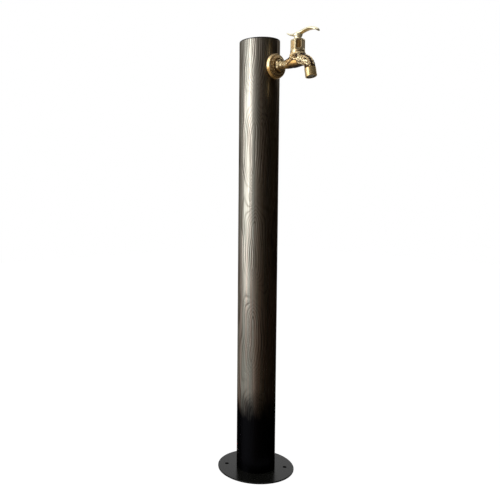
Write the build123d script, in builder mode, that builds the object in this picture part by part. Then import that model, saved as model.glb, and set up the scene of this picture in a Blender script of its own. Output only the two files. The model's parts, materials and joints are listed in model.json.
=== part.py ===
from build123d import *
import os
from math import cos, radians, sin

# A garden standpipe: a slim round post on a bolted foot plate, with a cast brass garden tap near its top.
# Water comes in through a threaded coupling in the foot, climbs a riser pipe inside the post, turns
# through an elbow and reaches the tap, whose quarter-turn ceramic headwork is worked by a leaf lever.
# The origin is on the post's axis, on the underside of the foot plate. +Z is up, and +X is the way the
# tap points. All lengths are in millimetres, and angles are in degrees.

# Clearances
running_gap = 0.05  # radial, round a turning spindle
thread_gap = 0.05  # radial, between a male thread's crest and the bore that stands for its female thread
loose_gap = 0.3  # round pieces that pass through one another without fitting
cut_overrun = 1.0  # how far a cut runs past the face that it opens

# Half-inch parallel pipe thread, which sets every water joint
thread_outer = 20.955
thread_bore = 18.631
waterway = 12.0

# Post
post_height = 830.0  # ground to the top of the cap
post_diameter = 76.0
post_wall = 1.5
cap_thickness = 2.0
cap_edge_round = 1.2
cap_skirt = 9.0
cap_skirt_wall = 1.2
cap_clearance = 0.1  # radial, between the cap's skirt and the tube

# Foot plate
plate_diameter = 150.0
plate_thickness = 3.0
plate_edge_round = 0.8
anchor_inset = 17.5  # from the plate's edge to the middle of an anchor hole
anchor_hole = 8.0
anchor_count = 4
anchor_first_angle = 45.0

# Tap: main places
tap_drop = 52.5  # from the post's top down to the tap's axis
valve_reach = 57.7  # from the post's face to the valve's axis
socket_proud = 2.5  # how far the welded socket stands out of the post's face
flange_washer_thickness = 1.5
flange_web = 9.0  # thickness of the flange where the tap's collar clamps it

# Riser pipe and its two union joints
riser_diameter = 16.0
riser_wall = 1.0
riser_collar_thickness = 2.0
union_washer_thickness = 2.0
union_nut_across = 24.0
union_nut_back = 3.0
union_nut_grip = 7.5  # how far the nut reaches along the male thread
spigot_length = 10.0  # male thread of a union joint

# Inlet coupling in the foot
coupling_diameter = 26.0
coupling_shoulder_diameter = 34.0
coupling_shoulder = 5.0
coupling_height = 18.0  # underside to the root of the male thread
inlet_thread_length = 15.0

# Elbow at the top of the riser
elbow_diameter = 22.0
elbow_drop = 20.0  # tap axis down to the root of the vertical thread
elbow_bore = 12.0

# Welded socket behind the tap
socket_diameter = 27.0
socket_length = 22.0
shank_engagement = 9.0  # how far the tap's thread reaches inside the post's face
elbow_engagement = 8.0  # how far the elbow's thread reaches into the socket

# Wall flange, a round domed rosette
flange_diameter = 46.6
flange_edge = 3.0  # straight part of the rim
flange_roll_inset = 2.3  # from the rim to the top of the roll round it
flange_roll = 5.4  # top of the roll above the flange's back
flange_dome_inset = 4.4  # from the rim to the foot of the dome
flange_dome_foot = 4.8  # foot of the dome above the back
flange_dome_drop = 1.6  # from the flat where the collar sits to halfway down the dome
flange_flat_radius = 12.8
flange_recess_depth = 2.0
flange_recess_inset = 3.4  # from the rim to the recess in the flange's back
flange_seat_width = 2.5  # of the flat round the hole, which bears on the washer

# Tap body: collar, neck, belly, chamber and spout
collar_across = 20.6
collar_turn = 30.0  # brings two of its flats upright
collar_length = 5.5
neck_radius = 7.2
neck_share = 0.3  # of the way from collar to valve axis, where the neck starts to swell
belly_radius = 10.8
belly_tail = 7.0  # how far the belly's full section runs past the valve's axis
belly_end_radius = 8.2
spout_drop = 1.2  # from the tap's axis down to the spout's centre line
spout_radius = 9.0
bend_offset = 13.0  # valve axis to the start of the spout's bend
bend_radius = 15.5
nozzle_tilt = 11.5  # the nozzle leans this far outward from straight down
spout_shoulder = 3.5  # straight length between the bend and the sleeve
core_diameter = 9.2  # water passage in the spout
inlet_core = 8.0  # passage under the valve
inlet_core_drop = 3.5  # from the tap's axis down to that passage
inlet_core_reach = 16.0  # how far it runs back from the valve's axis
inlet_bore_end = 12.0  # from the valve's axis back to the end of the inlet bore
chamber_top = 17.5  # seat of the bonnet, above the tap's axis
chamber_ring_radius = 12.9
chamber_ring_height = 4.6
chamber_floor = 2.0  # floor of the headwork's cavity, above the tap's axis
chamber_height_shares = (-0.16, 0.2, 0.47, 0.74, 1.0)  # of chamber_top
chamber_length_shares = (1.82, 1.63, 1.34, 1.05, 0.99)  # of chamber_radius, along the tap
chamber_width_shares = (0.6, 0.78, 0.94, 0.99, 0.99)  # of chamber_radius, across it
chamber_radius = 12.6
cavity_diameter = 17.4
headwork_thread = 16.66
headwork_thread_length = 4.5
side_port = 7.6  # passage from the cavity to the spout
side_port_height = 6.5
side_port_reach = 11.3

# Nozzle sleeve and what it holds
nose_diameter = 16.6
nose_length = 7.0
sleeve_diameter = 20.0
sleeve_length = 15.5
sleeve_lip = 1.5
sleeve_lip_bore = 14.4
sleeve_edge_round = 1.2
sleeve_top_chamfer = 0.6
sleeve_groove_width = 0.6
sleeve_groove_depth = 0.35
sleeve_groove_place = 2.3  # from the sleeve's mouth
insert_height = 5.0
insert_hole = 2.0
insert_pitch = 2.9
insert_rings = 2  # of holes round the middle one
insert_gasket_bore = 10.4

# Headwork
seat_seal_height = 2.4
seat_bore = 9.0
disc_diameter = 13.0
disc_thickness = 3.0
disc_port = 4.2
disc_port_circle = 7.0
disc_film = 0.03  # between the two polished discs
skirt_wall = 1.0
skirt_gap = 0.1  # radial, round the discs
housing_flange_diameter = 19.4
housing_flange_thickness = 2.5
housing_neck_diameter = 14.0
housing_neck_top = 34.3  # above the tap's axis
window_width = 6.0
body_ring_section = 0.9
foot_height = 3.0
foot_diameter = 12.4
drive_tab_width = 2.4
drive_tab_length = 9.0
drive_tab_depth = 1.2
spindle_diameter = 8.0
stop_lug_radius = 6.1
stop_lug_height = 2.0
stop_lug_angle = 60.0
stop_lug_start = 150.0
lever_travel = 90.0
stop_slack = 1.5  # degrees of play past each end of the travel
o_ring_section = 1.7
o_ring_heights = (21.0, 26.0)  # above the tap's axis
circlip_thickness = 0.8
circlip_diameter = 10.0
circlip_groove_diameter = 6.8
circlip_opening = 100.0
spindle_square = 6.0
spindle_square_height = 6.4
screw_diameter = 4.0
screw_depth = 8.0
screw_head_diameter = 7.2
screw_head_height = 2.0
screw_socket_across = 2.5
screw_edge_round = 0.25

# Hexagonal bonnet over the headwork
bonnet_height = 19.0
bonnet_across = 22.6
bonnet_turn = -9.4  # how far its flats stopped from square when it was screwed tight
bonnet_corner_radius = 12.9
bonnet_edge_chamfer = 1.0
bonnet_lower_bore = 19.8
bonnet_step = 12.0  # depth of the lower bore
bonnet_lip = 2.0
bonnet_lip_bore = 11.0
panel_width = 7.6
panel_height = 12.0
panel_depth = 0.5

# Lever handle
hub_gap = 0.3  # between the bonnet's top and the hub
hub_foot_radius = 7.3
hub_foot_height = 0.8
hub_waist_radius = 6.5
hub_waist_height = 3.0
hub_top_radius = 7.9
hub_height = 6.6
lever_reach = 46.5  # valve axis to the lever's tip
lever_level = 8.7  # lever's widest line at the hub, above the hub's foot
lever_rise = 4.0
lever_width = 15.0
lever_thickness = 6.4
lever_crown_share = 0.68  # of the thickness, above the lever's widest line
lever_along_shares = (-0.56, -0.46, -0.33, -0.17, 0.0, 0.22, 0.5, 0.7, 0.86, 0.96, 1.0)
lever_rise_shares = (1.7, 1.05, 0.4, 0.0, 0.0, 0.5, 0.97, 0.8, 0.2, -0.45, -0.8)
lever_width_shares = (0.2, 0.42, 0.6, 0.78, 0.93, 0.74, 0.88, 1.0, 0.9, 0.66, 0.36)
lever_thickness_shares = (0.3, 0.44, 0.6, 0.86, 1.0, 0.96, 0.86, 0.78, 0.7, 0.62, 0.46)

# Places that follow from the sizes above
post_radius = post_diameter / 2
anchor_circle = plate_diameter - 2 * anchor_inset
tap_z = post_height - tap_drop
valve_x = post_radius + valve_reach
socket_face = post_radius + socket_proud
flange_back = socket_face + flange_washer_thickness
collar_back = flange_back + flange_web
collar_front = collar_back + collar_length
shank_end = post_radius - shank_engagement
socket_inner_end = socket_face - socket_length
cavity_floor_z = tap_z + chamber_floor
bonnet_seat_z = tap_z + chamber_top
bonnet_top_z = bonnet_seat_z + bonnet_height
housing_top_z = tap_z + housing_neck_top
hub_foot_z = bonnet_top_z + hub_gap
riser_collar_diameter = thread_outer - 2 * loose_gap
inlet_spigot_top = coupling_height + spigot_length
elbow_spigot_end = tap_z - elbow_drop - spigot_length
sleeve_bore = nose_diameter + 2 * thread_gap

tap_axis = Axis((0, 0, tap_z), (1, 0, 0))
valve_axis = Axis((valve_x, 0, tap_z), (0, 0, 1))

# The spout's centre line ends where the nozzle's own axis begins
spout_turn = 90 - nozzle_tilt
bend_start_x = valve_x + bend_offset
bend_end_x = bend_start_x + bend_radius * sin(radians(spout_turn))
bend_end_z = tap_z - spout_drop - bend_radius * (1 - cos(radians(spout_turn)))
nozzle_direction = Vector(sin(radians(nozzle_tilt)), 0, -cos(radians(nozzle_tilt)))
nozzle_origin = Vector(bend_end_x, 0, bend_end_z) + nozzle_direction * spout_shoulder
nozzle_plane = Plane(origin=nozzle_origin, x_dir=(0, 1, 0), z_dir=nozzle_direction)

os.makedirs("parts", exist_ok=True)


def keep(piece, name):
    """Labels a finished piece with its name and writes it out."""
    piece.part.label = name
    export_step(piece.part, f"parts/{name}.step")


def level(x, z):
    """A level plane whose origin stands at x along the tap and at height z."""
    return Plane(origin=(x, 0, z))


def across(x, z):
    """A plane square to the tap's axis, seen from the spout's end."""
    return Plane(origin=(x, 0, z), x_dir=(0, 1, 0), z_dir=(1, 0, 0))


def beside_tap(x, radius):
    """A point of a half section on Plane.XZ, at x along the tap and radius above its axis."""
    return (x, tap_z + radius)


def beside_valve(radius, z):
    """A point of a half section on Plane.XZ, at radius from the valve's axis and height z."""
    return (valve_x + radius, z)


def ring(plane, outer, inner, thickness):
    """A flat ring that grows from a plane, made inside the part block that is open."""
    with BuildSketch(plane) as band:
        Circle(outer / 2)
        Circle(inner / 2, mode=Mode.SUBTRACT)
    extrude(band.sketch, amount=thickness)


def drill(plane, diameter, depth):
    """A round hole cut from a plane, made inside the part block that is open."""
    with BuildSketch(plane) as mouth:
        Circle(diameter / 2)
    extrude(mouth.sketch, amount=depth, mode=Mode.SUBTRACT)


def sector(plane, radius, start, size):
    """A slice of a disc on a plane, from the angle start and size wide."""
    with BuildSketch(plane) as slice_face:
        with BuildLine():
            rim = CenterArc((0, 0), radius, start, size)
            Line((0, 0), rim @ 0)
            Line(rim @ 1, (0, 0))
        make_face()
    return slice_face.sketch


# Post tube: rolled stainless steel, with one round hole for the tap's socket
with BuildPart() as post_tube:
    with BuildSketch(Plane.XY.offset(plate_thickness)):
        Circle(post_radius)
        Circle(post_radius - post_wall, mode=Mode.SUBTRACT)
    extrude(amount=post_height - cap_thickness - plate_thickness)
    drill(across(0, tap_z), socket_diameter + 2 * thread_gap, post_radius + cut_overrun)
keep(post_tube, "post_tube")

# Top cap: a pressed lid, flush with the tube outside, with a skirt that drops inside it
with BuildPart() as top_cap:
    with BuildSketch(Plane.XY.offset(post_height - cap_thickness)):
        Circle(post_radius)
    extrude(amount=cap_thickness)
    fillet(top_cap.edges().group_by(Axis.Z)[-1], cap_edge_round)
    skirt_diameter = post_diameter - 2 * post_wall - 2 * cap_clearance
    ring(
        Plane.XY.offset(post_height - cap_thickness),
        skirt_diameter,
        skirt_diameter - 2 * cap_skirt_wall,
        -cap_skirt,
    )
keep(top_cap, "top_cap")

# Foot plate: a laser-cut disc with four anchor holes and a middle hole for the inlet coupling
with BuildPart() as base_plate:
    with BuildSketch():
        Circle(plate_diameter / 2)
        Circle(coupling_diameter / 2 + thread_gap, mode=Mode.SUBTRACT)
        with PolarLocations(anchor_circle / 2, anchor_count, start_angle=anchor_first_angle):
            Circle(anchor_hole / 2, mode=Mode.SUBTRACT)
    extrude(amount=plate_thickness)
    rims = base_plate.edges().filter_by(GeomType.CIRCLE)
    fillet(rims.filter_by(lambda rim: rim.radius > post_radius), plate_edge_round)
keep(base_plate, "base_plate")

# Inlet coupling: a turned brass bush, flush with the underside, whose shoulder stands on the plate
with BuildPart() as inlet_coupling:
    with BuildSketch():
        Circle(coupling_diameter / 2)
    extrude(amount=coupling_height)
    with BuildSketch(Plane.XY.offset(plate_thickness)):
        Circle(coupling_shoulder_diameter / 2)
    extrude(amount=coupling_shoulder)
    with BuildSketch(Plane.XY.offset(coupling_height)):
        Circle(thread_outer / 2)
    extrude(amount=spigot_length)
    drill(Plane.XY, thread_bore, inlet_thread_length)
    drill(Plane.XY, waterway, inlet_spigot_top + cut_overrun)
keep(inlet_coupling, "inlet_coupling")

# Riser pipe: thin stainless tube with a collar rolled at each end for its union nut
riser_foot = inlet_spigot_top + union_washer_thickness
riser_head = elbow_spigot_end - union_washer_thickness
with BuildPart() as riser_pipe:
    riser_bore = riser_diameter - 2 * riser_wall
    ring(Plane.XY.offset(riser_foot), riser_diameter, riser_bore, riser_head - riser_foot)
    ring(Plane.XY.offset(riser_foot), riser_collar_diameter, riser_bore, riser_collar_thickness)
    ring(Plane.XY.offset(riser_head), riser_collar_diameter, riser_bore, -riser_collar_thickness)
keep(riser_pipe, "riser_pipe")

# Union joints: at each end a washer between the thread's end and the collar, and a hexagon nut
nut_cavity = union_nut_grip + union_washer_thickness + riser_collar_thickness + loose_gap
for end_name, thread_end, way in (("lower", inlet_spigot_top, 1), ("upper", elbow_spigot_end, -1)):
    with BuildPart() as union_washer:
        ring(Plane.XY.offset(thread_end), riser_collar_diameter, waterway, way * union_washer_thickness)
    keep(union_washer, f"{end_name}_union_washer")
    nut_start = thread_end - way * union_nut_grip
    with BuildPart() as union_nut:
        with BuildSketch(Plane.XY.offset(nut_start)):
            RegularPolygon(union_nut_across / 2, 6, major_radius=False)
        extrude(amount=way * (nut_cavity + union_nut_back))
        drill(Plane.XY.offset(nut_start), thread_outer + 2 * thread_gap, way * nut_cavity)
        nut_length = nut_cavity + union_nut_back + cut_overrun
        drill(Plane.XY.offset(nut_start), riser_diameter + 2 * loose_gap, way * nut_length)
    keep(union_nut, f"{end_name}_union_nut")

# Elbow: turns the water from the riser towards the tap, with a ball-shaped corner
with BuildPart() as riser_elbow:
    with Locations((0, 0, tap_z)):
        Sphere(elbow_diameter / 2)
    with BuildSketch(Plane.XY.offset(tap_z)):
        Circle(elbow_diameter / 2)
    extrude(amount=-elbow_drop)
    with BuildSketch(Plane.XY.offset(tap_z - elbow_drop)):
        Circle(thread_outer / 2)
    extrude(amount=-spigot_length)
    with BuildSketch(across(0, tap_z)):
        Circle(elbow_diameter / 2)
    extrude(amount=socket_inner_end - loose_gap)
    with BuildSketch(across(0, tap_z)):
        Circle(thread_outer / 2)
    extrude(amount=socket_inner_end + elbow_engagement)
    drill(Plane.XY.offset(tap_z), elbow_bore, -elbow_drop - spigot_length - cut_overrun)
    drill(across(0, tap_z), elbow_bore, socket_inner_end + elbow_engagement + cut_overrun)
    with Locations((0, 0, tap_z)):
        Sphere(elbow_bore / 2, mode=Mode.SUBTRACT)
keep(riser_elbow, "riser_elbow")

# Tap socket: a threaded bush welded through the post's wall, a little proud of its face
with BuildPart() as tap_socket:
    ring(
        across(socket_inner_end, tap_z),
        socket_diameter,
        thread_outer + 2 * thread_gap,
        socket_length,
    )
keep(tap_socket, "tap_socket")

# Rubber washer between the socket's face and the flange
with BuildPart() as flange_washer:
    ring(
        across(socket_face, tap_z),
        socket_diameter,
        thread_outer + 2 * loose_gap,
        flange_washer_thickness,
    )
keep(flange_washer, "flange_washer")

# Wall flange: a cast rosette that domes up from a rolled rim, clamped by the tap's collar
with BuildPart() as wall_flange:
    with BuildSketch(Plane.XZ):
        with BuildLine():
            hole_radius = thread_outer / 2 + loose_gap
            seat_radius = hole_radius + flange_seat_width
            rim_radius = flange_diameter / 2
            recess_radius = rim_radius - flange_recess_inset
            recess_floor = flange_back + flange_recess_depth
            flat = Polyline(
                beside_tap(flange_back, seat_radius),
                beside_tap(flange_back, hole_radius),
                beside_tap(collar_back, hole_radius),
                beside_tap(collar_back, flange_flat_radius),
            )
            dome_radius = rim_radius - flange_dome_inset
            dome = ThreePointArc(
                flat @ 1,
                beside_tap(collar_back - flange_dome_drop, (flange_flat_radius + dome_radius) / 2),
                beside_tap(flange_back + flange_dome_foot, dome_radius),
            )
            crest = ThreePointArc(
                dome @ 1,
                beside_tap(flange_back + flange_roll, rim_radius - flange_roll_inset),
                beside_tap(flange_back + flange_edge, rim_radius),
            )
            Polyline(
                crest @ 1,
                beside_tap(flange_back, rim_radius),
                beside_tap(flange_back, recess_radius),
                beside_tap(recess_floor, recess_radius - flange_recess_depth),
                beside_tap(recess_floor, seat_radius + flange_recess_depth),
                flat @ 0,
            )
        make_face()
    revolve(axis=tap_axis)
keep(wall_flange, "wall_flange")

# Tap body: one brass casting. A neck swells into a belly, an oval chamber rises from it to the
# bonnet's seat, and the spout runs on and turns down to a threaded nose.
with BuildPart() as tap_body:
    neck_end = collar_front + neck_share * (valve_x - collar_front)
    with BuildSketch(Plane.XZ):
        with BuildLine():
            neck_line = Line(beside_tap(collar_back, neck_radius), beside_tap(neck_end, neck_radius))
            swell = Spline(
                neck_line @ 1,
                beside_tap(valve_x - belly_tail, belly_radius),
                tangents=((1, 0), (1, 0)),
            )
            closing = Spline(
                swell @ 1,
                beside_tap(valve_x + belly_tail, belly_end_radius),
                tangents=((1, 0), (1, -1)),
            )
            Polyline(
                closing @ 1,
                beside_tap(valve_x + belly_tail, 0),
                beside_tap(collar_back, 0),
                neck_line @ 0,
            )
        make_face()
    revolve(axis=tap_axis)
    with BuildSketch(across(collar_back, tap_z)):
        RegularPolygon(collar_across / 2, 6, major_radius=False, rotation=collar_turn)
    extrude(amount=collar_length)
    with BuildSketch(across(shank_end, tap_z)):
        Circle(thread_outer / 2)
    extrude(amount=collar_back - shank_end)
    for height, length, width in zip(chamber_height_shares, chamber_length_shares, chamber_width_shares):
        with BuildSketch(level(valve_x, tap_z + height * chamber_top)):
            Ellipse(length * chamber_radius, width * chamber_radius)
    loft()
    with BuildSketch(level(valve_x, bonnet_seat_z - chamber_ring_height)):
        Circle(chamber_ring_radius)
    extrude(amount=chamber_ring_height)
    with BuildLine(Plane.XZ) as spout_line:
        run = Line((valve_x - belly_tail, tap_z - spout_drop), (bend_start_x, tap_z - spout_drop))
        bend = JernArc(run @ 1, run % 1, bend_radius, -spout_turn)
        Line(bend @ 1, (bend @ 1) + (bend % 1) * spout_shoulder)
    with BuildSketch(across(valve_x - belly_tail, tap_z - spout_drop)):
        Circle(spout_radius)
    sweep(path=spout_line.line)
    with BuildSketch(nozzle_plane):
        Circle(nose_diameter / 2)
    extrude(amount=nose_length)
    # The passages: inlet bore, seat port, cavity, side port, weir and the cored spout
    drill(across(shank_end, tap_z), seat_bore, valve_x - inlet_bore_end - shank_end)
    inlet_core_z = tap_z - inlet_core_drop
    drill(across(valve_x - inlet_core_reach, inlet_core_z), inlet_core, inlet_core_reach + inlet_core / 2)
    drill(level(valve_x, inlet_core_z), seat_bore, cavity_floor_z - inlet_core_z + cut_overrun)
    cavity_depth = chamber_top - chamber_floor - headwork_thread_length
    drill(level(valve_x, cavity_floor_z), cavity_diameter, cavity_depth)
    drill(level(valve_x, cavity_floor_z), headwork_thread + 2 * thread_gap, chamber_top)
    drill(across(valve_x, tap_z + side_port_height), side_port, side_port_reach)
    drill(level(valve_x + side_port_reach, tap_z - spout_drop), side_port, side_port_height + spout_drop)
    core_start = valve_x + side_port_reach - side_port / 2
    with BuildLine(Plane.XZ) as core_line:
        core_run = Line((core_start, tap_z - spout_drop), (bend_start_x, tap_z - spout_drop))
        core_bend = JernArc(core_run @ 1, core_run % 1, bend_radius, -spout_turn)
        Line(core_bend @ 1, (core_bend @ 1) + (core_bend % 1) * (spout_shoulder + nose_length + cut_overrun))
    with BuildSketch(across(core_start, tap_z - spout_drop)):
        Circle(core_diameter / 2)
    sweep(path=core_line.line, mode=Mode.SUBTRACT)
keep(tap_body, "tap_body")

# Nozzle sleeve: screwed over the spout's nose, with a lip that holds the flow straightener
with BuildPart() as nozzle_sleeve:
    with BuildSketch(nozzle_plane):
        Circle(sleeve_diameter / 2)
    extrude(amount=sleeve_length)
    ends = nozzle_sleeve.edges().filter_by(GeomType.CIRCLE).sort_by(Axis.Z)
    fillet(ends[0], sleeve_edge_round)
    chamfer(ends[-1], sleeve_top_chamfer)
    drill(nozzle_plane, sleeve_bore, sleeve_length - sleeve_lip)
    drill(nozzle_plane, sleeve_lip_bore, sleeve_length + cut_overrun)
    with BuildSketch(nozzle_plane.offset(sleeve_length - sleeve_groove_place)):
        Circle(sleeve_diameter / 2 + cut_overrun)
        Circle(sleeve_diameter / 2 - sleeve_groove_depth, mode=Mode.SUBTRACT)
    extrude(amount=-sleeve_groove_width, mode=Mode.SUBTRACT)
keep(nozzle_sleeve, "nozzle_sleeve")

# Flow straightener: a moulded disc with rings of small holes, resting on the sleeve's lip
with BuildPart() as flow_straightener:
    with BuildSketch(nozzle_plane.offset(sleeve_length - sleeve_lip)):
        Circle(nose_diameter / 2 - thread_gap)
        Circle(insert_hole / 2, mode=Mode.SUBTRACT)
        for hole_ring in range(1, insert_rings + 1):
            with PolarLocations(hole_ring * insert_pitch, 6 * hole_ring):
                Circle(insert_hole / 2, mode=Mode.SUBTRACT)
    extrude(amount=-insert_height)
keep(flow_straightener, "flow_straightener")

# Gasket between the spout's nose and the straightener
with BuildPart() as nozzle_gasket:
    gasket_thickness = sleeve_length - sleeve_lip - insert_height - nose_length
    ring(nozzle_plane.offset(nose_length), nose_diameter, insert_gasket_bore, gasket_thickness)
keep(nozzle_gasket, "nozzle_gasket")

# Seat seal: a thick rubber ring round the port in the chamber's floor
with BuildPart() as seat_seal:
    ring(level(valve_x, cavity_floor_z), disc_diameter, seat_bore, seat_seal_height)
keep(seat_seal, "seat_seal")

# Ceramic discs: two ports each. The ports cross at rest, and a quarter turn brings them in line.
fixed_disc_z = cavity_floor_z + seat_seal_height
moving_disc_z = fixed_disc_z + disc_thickness + disc_film
with BuildPart() as fixed_disc:
    with BuildSketch(level(valve_x, fixed_disc_z)):
        Circle(disc_diameter / 2)
        with PolarLocations(disc_port_circle / 2, 2):
            Circle(disc_port / 2, mode=Mode.SUBTRACT)
    extrude(amount=disc_thickness)
keep(fixed_disc, "fixed_disc")

with BuildPart() as moving_disc:
    with BuildSketch(level(valve_x, moving_disc_z)):
        Circle(disc_diameter / 2)
        with PolarLocations(disc_port_circle / 2, 2, start_angle=lever_travel):
            Circle(disc_port / 2, mode=Mode.SUBTRACT)
    extrude(amount=disc_thickness)
    with BuildSketch(level(valve_x, moving_disc_z + disc_thickness)):
        Rectangle(drive_tab_length + 2 * running_gap, drive_tab_width + 2 * running_gap)
    extrude(amount=-drive_tab_depth - running_gap, mode=Mode.SUBTRACT)
keep(moving_disc, "moving_disc")

# Headwork housing: a skirt round the discs with two windows, a male thread, a flange that seats on
# the casting, and a long neck that guides the spindle. A pocket in it stops the lever after its travel.
foot_z = moving_disc_z + disc_thickness
pocket_z = foot_z + foot_height + loose_gap
with BuildPart() as headwork_housing:
    skirt_bore = disc_diameter + 2 * skirt_gap
    thread_z = bonnet_seat_z - headwork_thread_length
    with BuildSketch(level(valve_x, cavity_floor_z)):
        Circle(skirt_bore / 2 + skirt_wall)
    extrude(amount=thread_z - cavity_floor_z)
    with BuildSketch(level(valve_x, thread_z)):
        Circle(headwork_thread / 2)
    extrude(amount=headwork_thread_length)
    with BuildSketch(level(valve_x, bonnet_seat_z)):
        Circle(housing_flange_diameter / 2)
    extrude(amount=housing_flange_thickness)
    with BuildSketch(level(valve_x, bonnet_seat_z)):
        Circle(housing_neck_diameter / 2)
    extrude(amount=housing_top_z - bonnet_seat_z)
    drill(level(valve_x, cavity_floor_z), skirt_bore, pocket_z - cavity_floor_z)
    drill(level(valve_x, cavity_floor_z), spindle_diameter + 2 * running_gap, housing_neck_top)
    pocket_start = stop_lug_start - stop_slack
    pocket_size = stop_lug_angle + lever_travel + 2 * stop_slack
    pocket = sector(level(valve_x, pocket_z), stop_lug_radius + loose_gap, pocket_start, pocket_size)
    extrude(pocket, amount=stop_lug_height + 2 * loose_gap, mode=Mode.SUBTRACT)
    with BuildSketch(level(valve_x, foot_z)):
        Rectangle(window_width, 2 * cavity_diameter)
    extrude(amount=foot_height - loose_gap, mode=Mode.SUBTRACT)
    groove_radius = headwork_thread / 2 + body_ring_section / 2
    with BuildSketch(Plane.XZ):
        with Locations(beside_valve(groove_radius, bonnet_seat_z + body_ring_section / 2)):
            Rectangle(body_ring_section + loose_gap, body_ring_section + loose_gap)
    revolve(axis=valve_axis, mode=Mode.SUBTRACT)
keep(headwork_housing, "headwork_housing")

# Sealing ring under the housing's flange
with BuildPart() as body_ring:
    with BuildSketch(Plane.XZ):
        with Locations(beside_valve(groove_radius, bonnet_seat_z + body_ring_section / 2)):
            Circle(body_ring_section / 2)
    revolve(axis=valve_axis)
keep(body_ring, "body_ring")

# Spindle: a foot with a tab that turns the upper disc, a stop lug, two ring grooves and a square end
square_z = hub_foot_z + hub_foot_height
with BuildPart() as spindle:
    with BuildSketch(level(valve_x, foot_z)):
        Circle(foot_diameter / 2)
    extrude(amount=foot_height)
    with BuildSketch(level(valve_x, foot_z)):
        Rectangle(drive_tab_length, drive_tab_width)
    extrude(amount=-drive_tab_depth)
    with BuildSketch(level(valve_x, foot_z)):
        Circle(spindle_diameter / 2)
    extrude(amount=square_z - foot_z)
    lug = sector(level(valve_x, foot_z + foot_height), stop_lug_radius, stop_lug_start, stop_lug_angle)
    extrude(lug, amount=loose_gap + stop_lug_height)
    with BuildSketch(level(valve_x, square_z)):
        Rectangle(spindle_square, spindle_square)
    extrude(amount=spindle_square_height)
    with BuildSketch(Plane.XZ):
        for ring_height in o_ring_heights:
            with Locations(beside_valve(spindle_diameter / 2, tap_z + ring_height)):
                Rectangle(2 * o_ring_section, o_ring_section + 2 * running_gap)
    revolve(axis=valve_axis, mode=Mode.SUBTRACT)
    with BuildSketch(level(valve_x, housing_top_z + running_gap)):
        Circle(spindle_diameter)
        Circle(circlip_groove_diameter / 2, mode=Mode.SUBTRACT)
    extrude(amount=circlip_thickness + 2 * running_gap, mode=Mode.SUBTRACT)
    drill(level(valve_x, square_z + spindle_square_height), screw_diameter, -screw_depth)
keep(spindle, "spindle")

# Two rubber rings on the spindle
for ring_name, ring_height in zip(("lower", "upper"), o_ring_heights):
    with BuildPart() as spindle_ring:
        with BuildSketch(Plane.XZ):
            with Locations(beside_valve(spindle_diameter / 2 - o_ring_section / 2, tap_z + ring_height)):
                Circle(o_ring_section / 2)
        revolve(axis=valve_axis)
    keep(spindle_ring, f"{ring_name}_spindle_ring")

# Spring clip that keeps the spindle in its housing
with BuildPart() as spindle_clip:
    clip_plane = level(valve_x, housing_top_z + 2 * running_gap)
    ring(clip_plane, circlip_diameter, circlip_groove_diameter + 2 * running_gap, circlip_thickness)
    clip_mouth = sector(clip_plane, circlip_diameter, -circlip_opening / 2, circlip_opening)
    extrude(clip_mouth, amount=circlip_thickness, mode=Mode.SUBTRACT)
keep(spindle_clip, "spindle_clip")

# Bonnet: a hexagonal cover with a sunk panel in each face, screwed down over the headwork
with BuildPart() as bonnet:
    with BuildSketch(level(valve_x, bonnet_seat_z)):
        RegularPolygon(bonnet_across / 2, 6, major_radius=False, rotation=bonnet_turn)
    extrude(amount=bonnet_height)
    with BuildSketch(Plane.XZ):
        with BuildLine():
            bonnet_end_radius = bonnet_corner_radius - bonnet_edge_chamfer
            Polyline(
                beside_valve(0, bonnet_seat_z),
                beside_valve(bonnet_end_radius, bonnet_seat_z),
                beside_valve(bonnet_corner_radius, bonnet_seat_z + bonnet_edge_chamfer),
                beside_valve(bonnet_corner_radius, bonnet_top_z - bonnet_edge_chamfer),
                beside_valve(bonnet_end_radius, bonnet_top_z),
                beside_valve(0, bonnet_top_z),
                close=True,
            )
        make_face()
    revolve(axis=valve_axis, mode=Mode.INTERSECT)
    drill(level(valve_x, bonnet_seat_z), bonnet_lower_bore, bonnet_step)
    neck_bore = housing_neck_diameter + 2 * thread_gap
    drill(level(valve_x, bonnet_seat_z), neck_bore, bonnet_height - bonnet_lip)
    drill(level(valve_x, bonnet_seat_z), bonnet_lip_bore, bonnet_height + cut_overrun)
    flats = bonnet.faces().filter_by(GeomType.PLANE)
    for facet in flats.group_by(lambda face: round(abs(face.normal_at().Z)))[0]:
        with BuildSketch(Plane(facet)):
            Rectangle(panel_height, panel_width)
        extrude(amount=-panel_depth, mode=Mode.SUBTRACT)
keep(bonnet, "bonnet")


def lever_point(station):
    """The lever's centre line at one of its stations."""
    x = valve_x + lever_along_shares[station] * lever_reach
    return Vector(x, 0, hub_foot_z + lever_level + lever_rise_shares[station] * lever_rise)


def lever_plane(station):
    """The plane square to the lever's centre line at one of its stations."""
    before = lever_point(max(station - 1, 0))
    after = lever_point(min(station + 1, len(lever_along_shares) - 1))
    return Plane(origin=lever_point(station), x_dir=(0, 1, 0), z_dir=after - before)


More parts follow.
